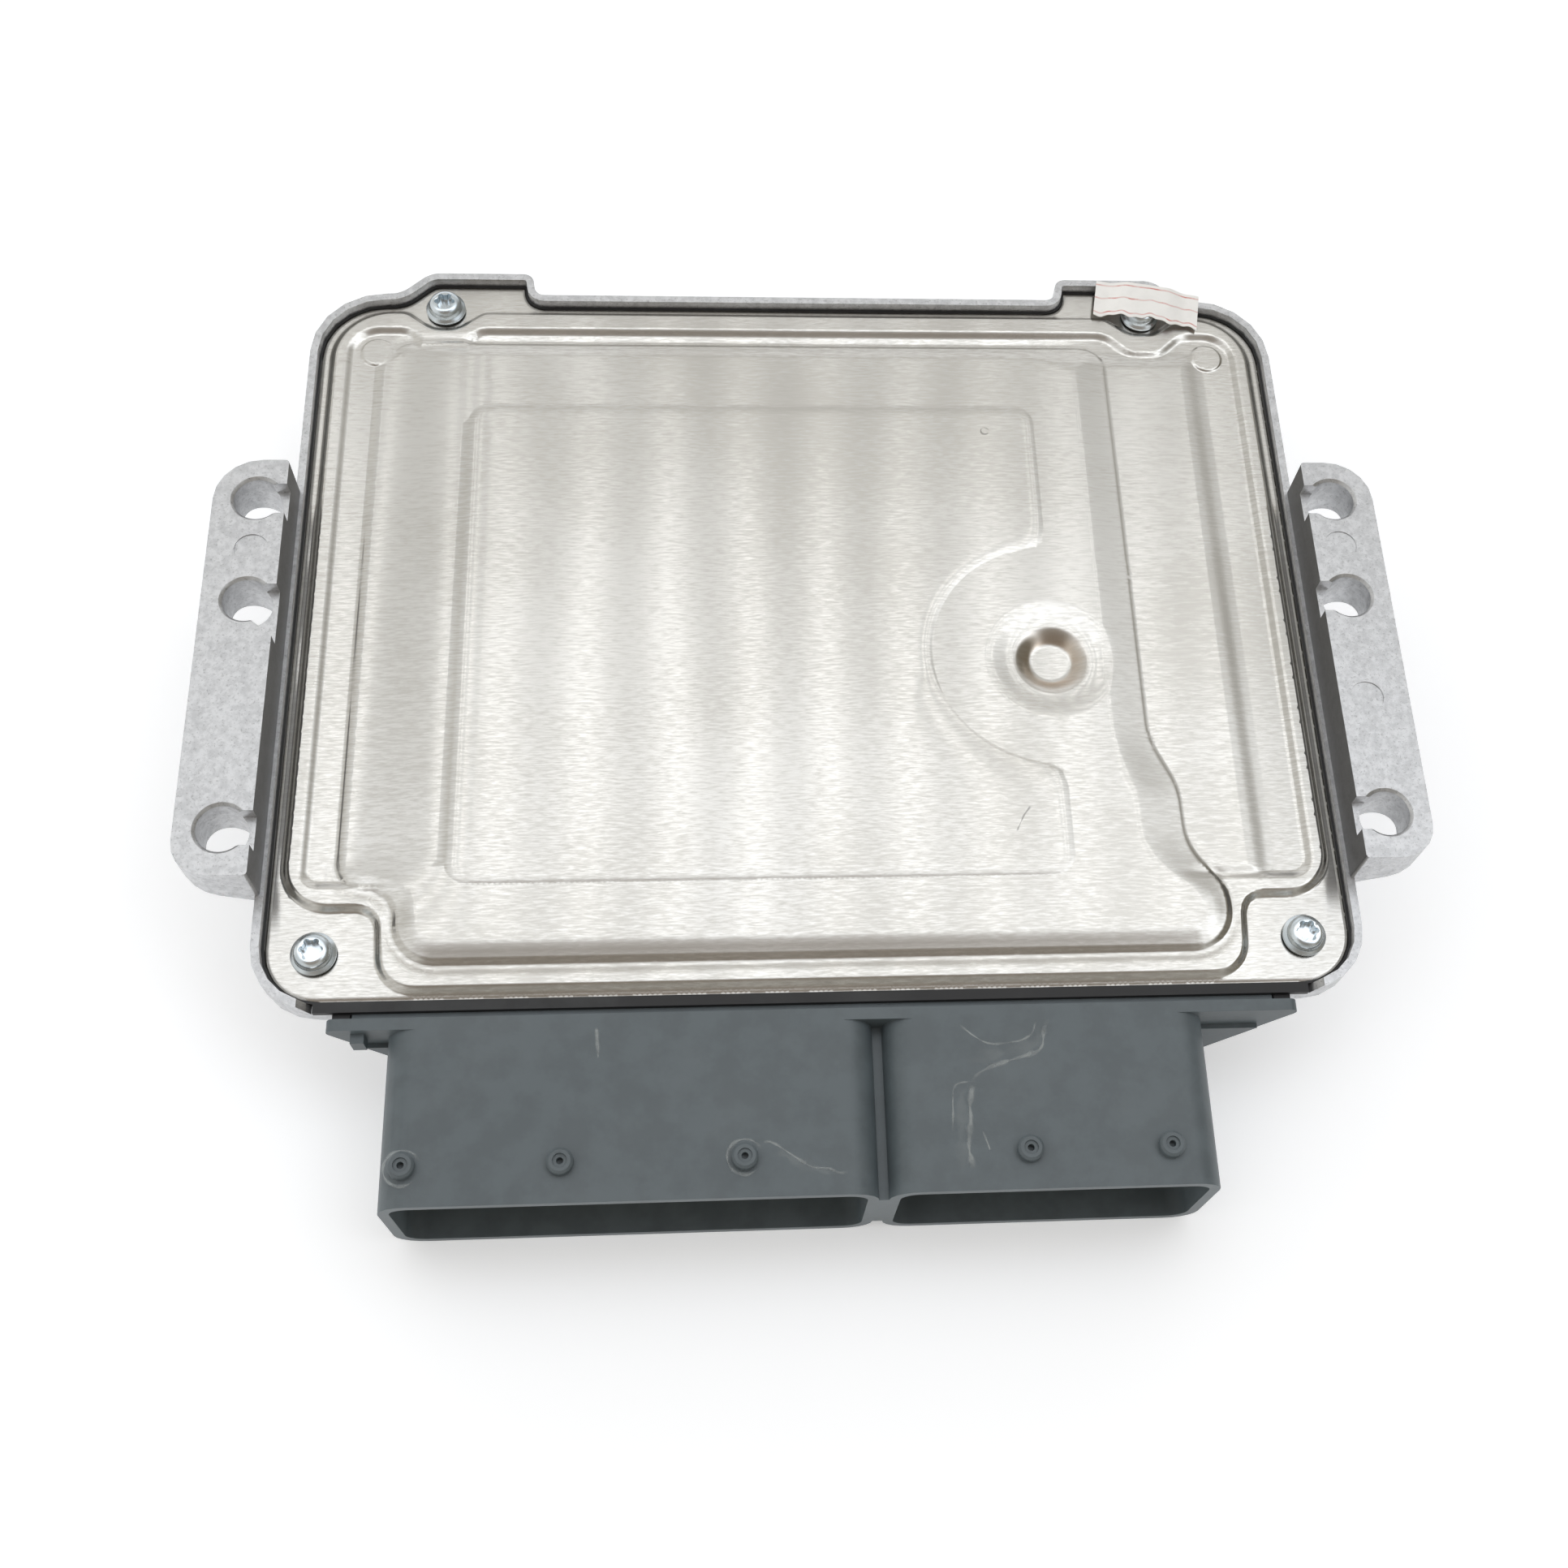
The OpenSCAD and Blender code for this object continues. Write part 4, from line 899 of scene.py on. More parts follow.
@dataclass
class PressedCover:
    """The pressed cover, rebuilt with smooth walls over the solid's own outlines. Sizes in millimetres."""

    finish: Finish
    sheet: float = 1.0
    rim_gap: float = 1.8
    tab_reach: float = 5.0
    edge_roll: float = 0.3
    roll_run: float = 0.9
    edge_run: float = 1.6
    border_rise: float = 1.1
    groove_drop: float = 0.7
    groove_run: float = 1.8
    ledge_rise: float = 0.7
    ledge_run: float = 4.4
    dimple_r: float = 3.4
    dimple_rise: float = 0.38
    dimple_run: float = 0.8
    panel_left: float = 11.9
    panel_rise: float = 1.0
    panel_run: float = 4.2
    panel_run_left: float = 1.8
    panel_run_right: float = 9.0
    panel_crease: float = 0.9
    panel_part: float = 0.3
    panel_part_cut: float = 0.35
    right_front: float = 13.0
    right_ease: float = 16.0
    crown_drop: float = 1.34
    crown_run: float = 22.0
    crown_front: float = 10.0
    crown_ease: float = 18.0
    valley_depth: float = 0.22
    valley_set: float = 0.5
    valley_width: float = 0.9
    valley_spread: float = 2.4
    field_rise: float = 0.19
    field_run: float = 2.9
    field_crease: float = 0.6
    field_part: float = 0.12
    field_blend: float = 0.55
    fade_front: float = 2.0
    fade_run: Span = (8.0, 12.0)
    fade_growth: float = 2.2
    vent_d: float = 5.9
    vent_dish_d: float = 13.4
    vent_dish_depth: float = 2.1
    vent_dish_lip: float = 0.3
    vent_lead_r: float = 12.2
    vent_lead_drop: float = 0.45
    vent_pad_r: float = 21.8
    screw_hole_d: float = 4.4
    waves: tuple[tuple[Place, float, float], ...] = (
        ((0.085, 0.021), 0.4, 0.02), ((-0.05, 0.09), 1.9, 0.012), ((0.14, -0.06), 0.7, 0.006),
    )
    contour_step: float = 0.9
    edge_step: float = 0.8
    edge_insets: tuple[float, ...] = (-0.3, -0.6, -0.9)
    wall_contours: int = 10
    wall_margin: float = 0.08
    foot_bias: float = 1.8
    flat_step: float = 3.0
    least_gap: float = 0.11
    edge_clear: float = 0.2
    hole_clear: float = 0.15
    pad_points: int = 160
    lead_rings: tuple[int, int] = (7, 84)
    dish_rings: tuple[int, int] = (14, 72)
    dish_margin: Span = (0.25, 0.4)
    dimple_core: float = 0.5
    dimple_rings: tuple[int, int, float] = (8, 8, 14.0)
    screw_ring: tuple[float, int] = (0.5, 32)
    vent_points: int = 64
    screw_points: int = 40
    mesh_output: int = 4
    mesh_gap: float = 1e-5
    grain_unit: float = 0.01
    half_width: float = field(init=False)
    rear_y: float = field(init=False)
    front_y: float = field(init=False)
    edge_z: float = field(init=False)

    def __post_init__(self) -> None:
        """Takes the driving sizes from the solid's box."""
        low, high = (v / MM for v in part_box("cover"))
        self.half_width = high.x + self.rim_gap
        self.rear_y = high.y + self.rim_gap - self.tab_reach
        self.front_y = low.y - self.rim_gap
        self.edge_z = low.z + self.sheet

    @staticmethod
    def _both_sides(half: list[Corner]) -> RoundedOutline:
        """Mirrors a right-hand half outline into a whole one."""
        return RoundedOutline(half + [(-x, y, r) for x, y, r in reversed(half)])

    @staticmethod
    def _block(left: float, right: float, front: float, rear: float, radius: float = 4.0) -> RoundedOutline:
        """Returns a rectangle with round corners."""
        return RoundedOutline([(x, y, radius) for x, y in ((right, front), (right, rear), (left, rear), (left, front))])

    @property
    def rear_screw(self) -> Place:
        """Place of the rear right-hand screw."""
        return self.half_width - 24.4, self.rear_y - 2.6

    @property
    def front_screw(self) -> Place:
        """Place of the front right-hand screw."""
        return self.half_width - 9.9, self.front_y + 9.8

    @property
    def vent(self) -> Place:
        """Place of the vent."""
        return self.half_width - 48.8, self.front_y + 62.7

    @property
    def pad(self) -> Place:
        """Centre of the round pad that the field leaves free."""
        return self.vent[0] + 0.5, self.vent[1] + 1.1

    def dimples(self) -> list[Place]:
        """Returns the places of the two corner dimples."""
        return [(side * (self.half_width - 12.2), self.rear_y - 12.9) for side in (-1, 1)]

    def screw_places(self) -> list[Place]:
        """Returns the places of the four screws."""
        return [(s * x, y) for s in (-1, 1) for x, y in (self.front_screw, self.rear_screw)]

    def edge(self) -> RoundedOutline:
        """Draws the cover's edge, which follows the inside of the rim.

        Returns:
            The outline.
        """
        tab_y = self.rear_y + self.tab_reach
        tab_outer = self.half_width - 21.3
        tab_inner = self.half_width - 40.8
        rim = self._both_sides([
            (self.half_width, self.front_y, 11.0), (self.half_width, self.rear_y, 13.5),
            (tab_outer + 5.4, self.rear_y, 5.0), (tab_outer, tab_y, 5.0),
            (tab_inner, tab_y, 2.0), (tab_inner - 0.6, self.rear_y, 2.0),
        ])
        return rim.grown(-self.rim_gap)

    def border(self) -> RoundedOutline:
        """Draws the foot of the raised border.

        Returns:
            The outline.
        """
        w, rear, front = self.half_width, self.rear_y - 2.7, self.front_y
        screw = self.rear_screw[0]
        return self._both_sides([
            (w - 19.8, front + 2.4, 7.0), (w - 18.8, front + 16.8, 3.0), (w - 3.2, front + 16.8, 8.5),
            (w - 3.2, rear, 11.5), (screw + 7.0, rear, 4.0), (screw + 2.0, rear - 3.9, 4.0),
            (screw - 2.0, rear - 3.9, 4.0), (screw - 7.0, rear, 4.0),
        ])

    def groove(self) -> RoundedOutline:
        """Draws the floor of the groove inside the border.

        Returns:
            The outline.
        """
        x, rear, front = self.half_width - 8.0, self.rear_y - 8.8, self.front_y + 21.8
        screw, bridge = self.rear_screw[0], self.rear_y - 12.8
        return RoundedOutline([
            (x, front, 2.4), (x, rear, 4.5), (screw + 8.0, rear, 4.0), (screw + 3.0, rear - 4.6, 4.5),
            (screw - 3.4, rear - 4.6, 4.5), (screw - 8.0, rear, 4.0), (6.2 - screw, rear, 2.4),
            (5.2 - screw, bridge, 1.2), (-5.2 - screw, bridge, 1.2), (-6.2 - screw, rear, 2.4),
            (-x, rear, 4.5), (-x, front + 0.8, 1.6),
        ])

    def panel(self) -> RoundedOutline:
        """Draws the foot of the large panel.

        Returns:
            The outline.
        """
        w, rear, front = self.half_width, self.rear_y - 10.4, self.front_y
        left, right = self.panel_left - w, w - 32.4
        return RoundedOutline([
            (w - 21.7, front + 7.3, 7.5), (w - 21.8, front + 18.5, 8.0), (w - 27.9, front + 26.5, 11.0),
            (w - 28.1, front + 37.5, 14.0), (right, front + 47.0, 14.0), (right, rear, 5.0),
            (left + 5.0, rear, 2.5), (left, rear - 5.0, 2.5), (left, front + 20.5, 5.2),
            (22.2 - w, front + 20.5, 5.0), (21.7 - w, front + 7.3, 7.5),
        ])

    def panel_field(self) -> RoundedOutline:
        """Returns the foot of the slightly raised field on the panel."""
        return self._block(30.0 - self.half_width, self.vent[0] + 0.9, self.front_y + 21.0, self.rear_y - 25.6)

    def ledge(self) -> RoundedOutline:
        """Returns the foot of the low ledge beside the panel."""
        w = self.half_width
        return self._block(w - 46.0, w - 13.4, self.front_y + 18.6, self.rear_y - 11.4)

    def relief(self, places: np.ndarray) -> Relief:
        """Works out the pressed sheet's top over a set of places.

        Args:
            places: Places in the plane.

        Returns:
            Heights and slopes.
        """
        border_z = self.edge_z + self.border_rise
        groove_z = border_z - self.groove_drop
        panel_z = border_z + self.panel_rise
        sheet = Relief.flat(places, self.edge_z)
        sheet.settle(border_z, *Relief.ease(*self.border().reach(places), self.edge_run))
        depth, slope = self.groove().reach(places)
        sheet.settle(groove_z, *Relief.ease(depth + self.groove_run, slope, self.groove_run))
        sheet.settle(groove_z + self.ledge_rise, *Relief.ease(*self.ledge().reach(places), self.ledge_run))
        for dimple in self.dimples():
            inside = self._disc(dimple, self.dimple_r, places)
            sheet.settle(groove_z + self.dimple_rise, *Relief.ease(*inside, self.dimple_run))
        self._raise_panel(sheet, panel_z)
        self._raise_field(sheet)
        self._sink_vent(sheet, panel_z)
        self._roll_edge(sheet)
        self._add_waves(sheet)
        return sheet

    def _raise_panel(self, sheet: Relief, level: float) -> None:
        """Raises the panel, which falls to the left and has a long wall on the right.

        Args:
            sheet: The relief to change.
            level: Height of the panel.
        """
        x, y = sheet.places[:, 0], sheet.places[:, 1] - self.front_y
        depth, slope = self.panel().reach(sheet.places)
        right = smooth((x - self.vent[0]) / self.right_ease) * smooth((y - self.right_front) / self.right_ease)
        crown, crown_slope = Relief.ease(
            x + self.half_width - self.panel_left, np.array([[1.0, 0.0]]), self.crown_run
        )
        reach, reach_slope = Relief.ease(y - self.crown_front, np.array([[0.0, 1.0]]), self.crown_ease)
        low = (1 - crown) * reach
        low_slope = (1 - crown)[:, None] * reach_slope - reach[:, None] * crown_slope
        away = (depth + self.valley_set) / self.valley_width
        valley = (1 - right) * (1 - low) * self.valley_depth * np.exp(-(away**2))
        sheet.lower(valley, (-2 * away / self.valley_width * valley)[:, None] * slope)
        run = self.panel_run + (self.panel_run_right - self.panel_run) * right
        run = run + (self.panel_run_left - self.panel_run) * low
        foot = Relief.ease(depth, slope, self.panel_crease)
        part = self.panel_part * (1 - self.panel_part_cut * right)
        wall = Relief.mixed(part, foot, Relief.ease(depth, slope, run))
        sheet.settle(level - self.crown_drop * low, *wall, -self.crown_drop * low_slope)

    def _raise_field(self, sheet: Relief) -> None:
        """Raises the shallow field, which stops short of the round pad.

        Args:
            sheet: The relief to change.
        """
        depth, slope = self.panel_field().reach(sheet.places)
        inside, inward = self._disc(self.pad, self.vent_pad_r, sheet.places)
        total = np.logaddexp(-self.field_blend * depth, self.field_blend * inside)
        weight = np.exp(-self.field_blend * depth - total)[:, None]
        depth, slope = -total / self.field_blend, weight * slope - (1 - weight) * inward
        x, y = (np.array(self.pad) - sheet.places).T
        fade = smooth(x / self.fade_run[0]) * smooth((y - self.fade_front) / self.fade_run[1])
        run = self.field_run * (1 + self.fade_growth * fade * (1 - weight[:, 0]))
        foot = Relief.ease(depth, slope, self.field_crease)
        share, steep = Relief.mixed(self.field_part, foot, Relief.shoulder(depth, slope, run))
        sheet.lower(-self.field_rise * share, -self.field_rise * steep)

    def _sink_vent(self, sheet: Relief, level: float) -> None:
        """Sinks the vent's dish and the soft lead-in around it.

        Args:
            sheet: The relief to change.
            level: Height of the panel.
        """
        dish_r = self.vent_dish_d / 2
        outer = self._disc(self.vent, self.vent_lead_r, sheet.places)
        lead, lead_slope = Relief.ease(*outer, self.vent_lead_r - dish_r)
        sheet.lower(self.vent_lead_drop * lead, self.vent_lead_drop * lead_slope)
        inner = self._disc(self.vent, dish_r + self.vent_dish_lip, sheet.places)
        sheet.settle(level - self.vent_dish_depth, *Relief.ease(*inner, dish_r - self.vent_d / 2))

    def _roll_edge(self, sheet: Relief) -> None:
        """Rolls the cover's edge down.

        Args:
            sheet: The relief to change.
        """
        depth, slope = self.edge().reach(sheet.places)
        share = np.clip(1.0 - depth / self.roll_run, 0.0, 1.0)
        sheet.lower(self.edge_roll * share**2, -slope * (2 * self.edge_roll * share / self.roll_run)[:, None])

    def _add_waves(self, sheet: Relief) -> None:
        """Adds the faint unevenness that pressing leaves in flat sheet.

        Args:
            sheet: The relief to change.
        """
        x, y = sheet.places.T
        for (kx, ky), phase, size in self.waves:
            angle = kx * x + ky * y + phase
            steep = size * np.sin(angle)
            sheet.lower(size * (1.0 - np.cos(angle)), np.stack([kx * steep, ky * steep], axis=1))

    @staticmethod
    def _disc(centre: Place, radius: float, places: np.ndarray) -> Graded:
        """Measures how far inside a disc each place lies.

        Args:
            centre: The disc's centre.
            radius: Its radius.
            places: Places in the plane.

        Returns:
            Depth and its gradient.
        """
        away = places - np.array(centre)
        length = np.maximum(np.linalg.norm(away, axis=1), TINY)
        return radius - length, -away / length[:, None]

    @staticmethod
    def _ring(centre: Place, radius: float, count: int) -> np.ndarray:
        """Returns evenly spaced places on a circle."""
        return circle(centre, radius, np.arange(count) * 2 * math.pi / count)

    def _scatter(self, edge: np.ndarray) -> np.ndarray:
        """Chooses places: dense across each wall, sparse on flats.

        Args:
            edge: Points of the cover's edge.

        Returns:
            Places inside the edge.
        """
        shares = np.linspace(-self.wall_margin, 1.0 + self.wall_margin, self.wall_contours)
        feet = np.linspace(0.0, 1.0, self.wall_contours) ** self.foot_bias
        walls = (
            (self.border(), -self.edge_run * shares), (self.groove(), self.groove_run * shares),
            (self.panel(), self.valley_spread * self.valley_width * shares),
            (self.panel(), -self.panel_run_right * feet),
            (self.panel_field(), -self.field_run * feet), (self.ledge(), -self.ledge_run * shares),
        )
        lines = self.edge().contours(self.edge_step, self.edge_insets)
        for outline, offsets in walls:
            lines.extend(outline.contours(self.contour_step, offsets))
        lines.extend(self._rings(feet))
        columns, rows = (np.arange(low, high, self.flat_step) for low, high in zip(edge.min(0), edge.max(0)))
        lines.append(np.stack(np.meshgrid(columns, rows), axis=-1).reshape(-1, 2))
        places = thinned(np.concatenate(lines), self.least_gap)
        keep = self.edge().reach(places)[0] > self.edge_clear
        for centre, diameter in [(self.vent, self.vent_d)] + [(p, self.screw_hole_d) for p in self.screw_places()]:
            keep &= np.linalg.norm(places - np.array(centre), axis=1) > diameter / 2 + self.hole_clear
        return places[keep]

    def _rings(self, feet: np.ndarray) -> Iterable[np.ndarray]:
        """Chooses places around the pad, the vent, the dimples and the screws.

        Args:
            feet: Shares of a wall's run, close together at its foot.

        Yields:
            The places on one circle after another.
        """
        dish_r = self.vent_dish_d / 2
        for share in feet:
            yield self._ring(self.pad, self.vent_pad_r + self.field_run * share, self.pad_points)
        hole, lip = self.dish_margin
        for (count, points), inner, outer in (
            (self.lead_rings, dish_r, self.vent_lead_r), (self.dish_rings, self.vent_d / 2 + hole, dish_r + lip),
        ):
            for radius in np.linspace(inner, outer, count):
                yield self._ring(self.vent, radius, points)
        count, fewest, density = self.dimple_rings
        for dimple in self.dimples():
            for radius in np.linspace(self.dimple_core, self.dimple_r, count):
                yield self._ring(dimple, radius, max(fewest, int(density * radius)))
        margin, points = self.screw_ring
        for place in self.screw_places():
            yield self._ring(place, self.screw_hole_d / 2 + margin, points)

    def build(self) -> None:
        """Builds the cover's skin, underside and edges as one piece, which stands for the solid cover."""
        loops = [self.edge().points(self.edge_step), self._ring(self.vent, self.vent_d / 2, self.vent_points)]
        loops += [self._ring(place, self.screw_hole_d / 2, self.screw_points) for place in self.screw_places()]
        inner = self._scatter(loops[0])
        links: list[tuple[int, int]] = []
        start = 0
        for loop in loops:
            count = len(loop)
            links.extend((start + k, start + (k + 1) % count) for k in range(count))
            start += count
        flat = np.concatenate([*loops, inner])
        # This output type keeps the faces inside the vent's and the screws' loops: the skin is closed there.
        made = delaunay_2d_cdt([Vector(p) for p in flat], links, [], self.mesh_output, self.mesh_gap)
        places = np.array([tuple(v) for v in made[0]])
        faces = np.array([f if self._turns_left(places, f) else f[::-1] for f in made[2]])
        self._close(places, faces, self.relief(places))

    @staticmethod
    def _turns_left(places: np.ndarray, face: Sequence[int]) -> bool:
        """Tells whether a triangle runs anticlockwise."""
        a, b, c = (places[i] for i in face)
        return (b[0] - a[0]) * (c[1] - a[1]) - (b[1] - a[1]) * (c[0] - a[0]) > 0

    def _close(self, places: np.ndarray, faces: np.ndarray, top: Relief) -> None:
        """Adds the underside and the edges, and sets the exact normals.

        Args:
            places: The skin's places.
            faces: Its triangles.
            top: Its heights and slopes.
        """
        count = len(places)
        skin = np.concatenate([places, top.height[:, None]], axis=1)
        under = skin - np.array((0.0, 0.0, self.sheet))
        sides = np.concatenate([faces[:, [0, 1]], faces[:, [1, 2]], faces[:, [2, 0]]])
        keys = {(int(a), int(b)) for a, b in sides}
        rim = [(a, b) for a, b in keys if (b, a) not in keys]
        walls = [(b, a, a + count, b + count) for a, b in rim]
        below = faces[:, ::-1] + count
        grain = np.stack([places[:, 1], -places[:, 0]], axis=1) * self.grain_unit
        mesh = marked_mesh(
            "pressed_cover", np.concatenate([skin, under]), faces.tolist() + below.tolist() + walls,
            GRAIN_MAP, np.concatenate([grain, grain]),
        )
        normals = top.normals()
        out = np.array([(places[b] - places[a])[::-1] * (1.0, -1.0) for a, b in rim])
        out = out / np.maximum(np.linalg.norm(out, axis=1, keepdims=True), TINY)
        level = np.concatenate([out, np.zeros((len(out), 1))], axis=1)
        mesh.normals_split_custom_set(np.concatenate([
            normals[faces.ravel()], -normals[faces[:, ::-1].ravel()], np.repeat(level, 4, axis=0),
        ]).tolist())
        piece = new_piece("pressed_cover", mesh, self.finish.make())
        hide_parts("cover")
        LOG.info("pressed_cover: %d triangles", 2 * len(faces) + 2 * len(walls))


@dataclass
class DressedSolid:
    """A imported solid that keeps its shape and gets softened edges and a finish."""

    node: str
    finish: Finish
    edge_radius: float = 0.0
    edge_pieces: int = 2
    join_gap: float = 0.002
    flat_angle: float = 1.0
    sharp_angle: float = 38.0
    area_weight: int = 80

    def build(self, nodes: dict[str, bpy.types.Object]) -> None:
        """Dresses the solid.

        Args:
            nodes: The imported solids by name.
        """
        solid = nodes[self.node]
        solid.data.materials.clear()
        solid.data.materials.append(self.finish.make())
        if self.edge_radius:
            self._soften(solid)
        LOG.info("%s: dressed", self.node)

    def _soften(self, solid: bpy.types.Object) -> None:
        """Joins the solid's faces and rounds its sharp edges.

        Args:
            solid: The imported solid.
        """
        steps: tuple[tuple[str, str, dict[str, object]], ...] = (
            ("join", "WELD", {"merge_threshold": self.join_gap * MM}),
            ("flats", "DECIMATE", {"decimate_type": "DISSOLVE", "angle_limit": math.radians(self.flat_angle)}),
            ("edges", "BEVEL", {
                "width": self.edge_radius * MM, "segments": self.edge_pieces, "limit_method": "ANGLE",
                "angle_limit": math.radians(self.sharp_angle), "use_clamp_overlap": True, "harden_normals": False,
            }),
            ("shading", "WEIGHTED_NORMAL", {"mode": "FACE_AREA", "weight": self.area_weight}),
        )
        for name, kind, settings in steps:
            step = solid.modifiers.new(name, kind)
            for setting, value in settings.items():
                setattr(step, setting, value)


@dataclass
class SealLabel:
    """The paper seal that bridges the rear right-hand screw. Sizes in millimetres."""

    finish: Finish
    length: float = 20.6
    width: float = 8.2
    thickness: float = 0.14
    turn_deg: float = -10.0
    flat_end: float = 2.4
    top_half: float = 3.6
    top_gap: float = 0.06
    tear: tuple[tuple[float, float, float], ...] = ((0.45, 0.9, 0.6), (0.2, 2.3, 0.0))
    tear_share: float = 0.8
    ripple: tuple[float, float, float] = (0.05, 0.7, 2.0)
    sharp_angle: float = 50.0
    along: int = 64
    across: int = 14

    def _rise(self, u: float) -> float:
        """Returns how far up the drape is at a place along the label, from 0 to 1."""
        slack = self.length / 2 - self.flat_end
        return float(smooth((slack - abs(u)) / (slack - self.top_half)))

    def _drape(self, low: Vector, high: Vector) -> tuple[list[Corner], list[Place]]:
        """Lays a grid over the screw.

        Args:
            low: Lower corner of the solid label's box.
            high: Its upper corner.

        Returns:
            Places of the top and then of the underside, and each place's share along and across.
        """
        centre = (low + high) / 2
        turn = Matrix.Rotation(math.radians(self.turn_deg), 2)
        lift = high.z - self.thickness - self.top_gap - low.z
        size, rate, skew = self.ripple
        verts: list[Corner] = []
        marks: list[Place] = []
        for layer in (self.thickness, 0.0):
            for i in range(self.along + 1):
                u = (i / self.along - 0.5) * self.length
                torn = sum(deep * math.sin(often * u + phase) for deep, often, phase in self.tear)
                for j in range(self.across + 1):
                    share = j / self.across
                    v = (share - 0.5) * self.width + torn * (1 - share) * self.tear_share
                    place = turn @ Vector((u, v))
                    z = low.z + lift * self._rise(u) + size * math.sin(rate * u + skew * share) ** 2
                    verts.append((centre.x + place.x, centre.y + place.y, z + layer))
                    marks.append((i / self.along, share))
        return verts, marks

    def build(self) -> None:
        """Builds the draped label, which stands for the solid label."""
        verts, marks = self._drape(*(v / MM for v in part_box("seal_label")))
        row = self.across + 1
        sheet = row * (self.along + 1)
        faces: list[tuple[int, int, int, int]] = []
        for i in range(self.along):
            for j in range(self.across):
                a = i * row + j
                faces.append((a, a + row, a + row + 1, a + 1))
                faces.append((a + sheet, a + 1 + sheet, a + row + 1 + sheet, a + row + sheet))
        border = [i * row for i in range(self.along)] + [self.along * row + j for j in range(self.across)]
        border += [i * row + self.across for i in range(self.along, 0, -1)] + list(range(self.across, 0, -1))
        faces.extend((b, a, a + sheet, b + sheet) for a, b in zip(border, border[1:] + border[:1]))
        mesh = marked_mesh("paper_seal", verts, faces, RULING_MAP, marks)
        mesh.set_sharp_from_angle(angle=math.radians(self.sharp_angle))
        piece = new_piece("paper_seal", mesh, self.finish.make())
        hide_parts("seal_label")
        LOG.info("paper_seal: draped over the screw")


@dataclass
class FilmTrail:
    """One trail of a thin film on a level surface. Sizes in millimetres."""

    name: str
    width: float
    route: Sequence[Place]
    lift: float = 0.03
    step: float = 0.5
    slot: str = "header_plastic"
    mean_width: float = 0.75
    swings: tuple[tuple[float, float], ...] = ((0.3, 1.1), (0.2, 2.7))
    shares: tuple[float, ...] = (0.0, 0.25, 0.5, 0.75, 1.0)
    rounding: int = 3
    least_places: int = 4

    def build(self, origin: Place, top_z: float, finish: bpy.types.Material) -> None:
        """Lays the film along its route.

        Args:
            origin: Where the route is measured from.
            top_z: Height of the surface that it lies on.
            finish: Its material.
        """
        path = self._walk(origin)
        side = np.gradient(path, axis=0)
        side = np.stack([-side[:, 1], side[:, 0]], axis=1) / np.linalg.norm(side, axis=1, keepdims=True)
        run = np.arange(len(path)) * self.step
        (slow, slow_rate), (fast, fast_rate) = self.swings
        swing = slow * np.sin(slow_rate * run + len(self.name)) + fast * np.sin(fast_rate * run)
        wide = self.width * (self.mean_width + swing)
        verts: list[Corner] = []
        marks: list[Place] = []
        for k, (place, out, breadth) in enumerate(zip(path, side, wide)):
            for share in self.shares:
                verts.append((*(place + out * breadth * (share - 0.5)), top_z + self.lift))
                marks.append((k / (len(path) - 1), share))
        row = len(self.shares)
        starts = (k * row + j for k in range(len(path) - 1) for j in range(row - 1))
        faces = [(a + row, a + row + 1, a + 1, a) for a in starts]
        piece = new_piece(self.name, marked_mesh(self.name, verts, faces, FILM_MAP, marks), finish)
        LOG.info("%s: laid", self.name)

    def _walk(self, origin: Place) -> np.ndarray:
        """Smooths the route.

        Args:
            origin: Where the route is measured from.

        Returns:
            Evenly spaced places on a smooth curve through it.
        """
        knots = np.array(origin) + np.array(self.route)
        span = np.concatenate([[0.0], np.cumsum(np.linalg.norm(np.diff(knots, axis=0), axis=1))])
        at = np.linspace(0.0, span[-1], max(self.least_places, int(span[-1] / self.step)))
        path = np.stack([np.interp(at, span, knots[:, k]) for k in (0, 1)], axis=1)
        for _ in range(self.rounding):
            path[1:-1] = (path[:-2] + 2 * path[1:-1] + path[2:]) / 4
        return path


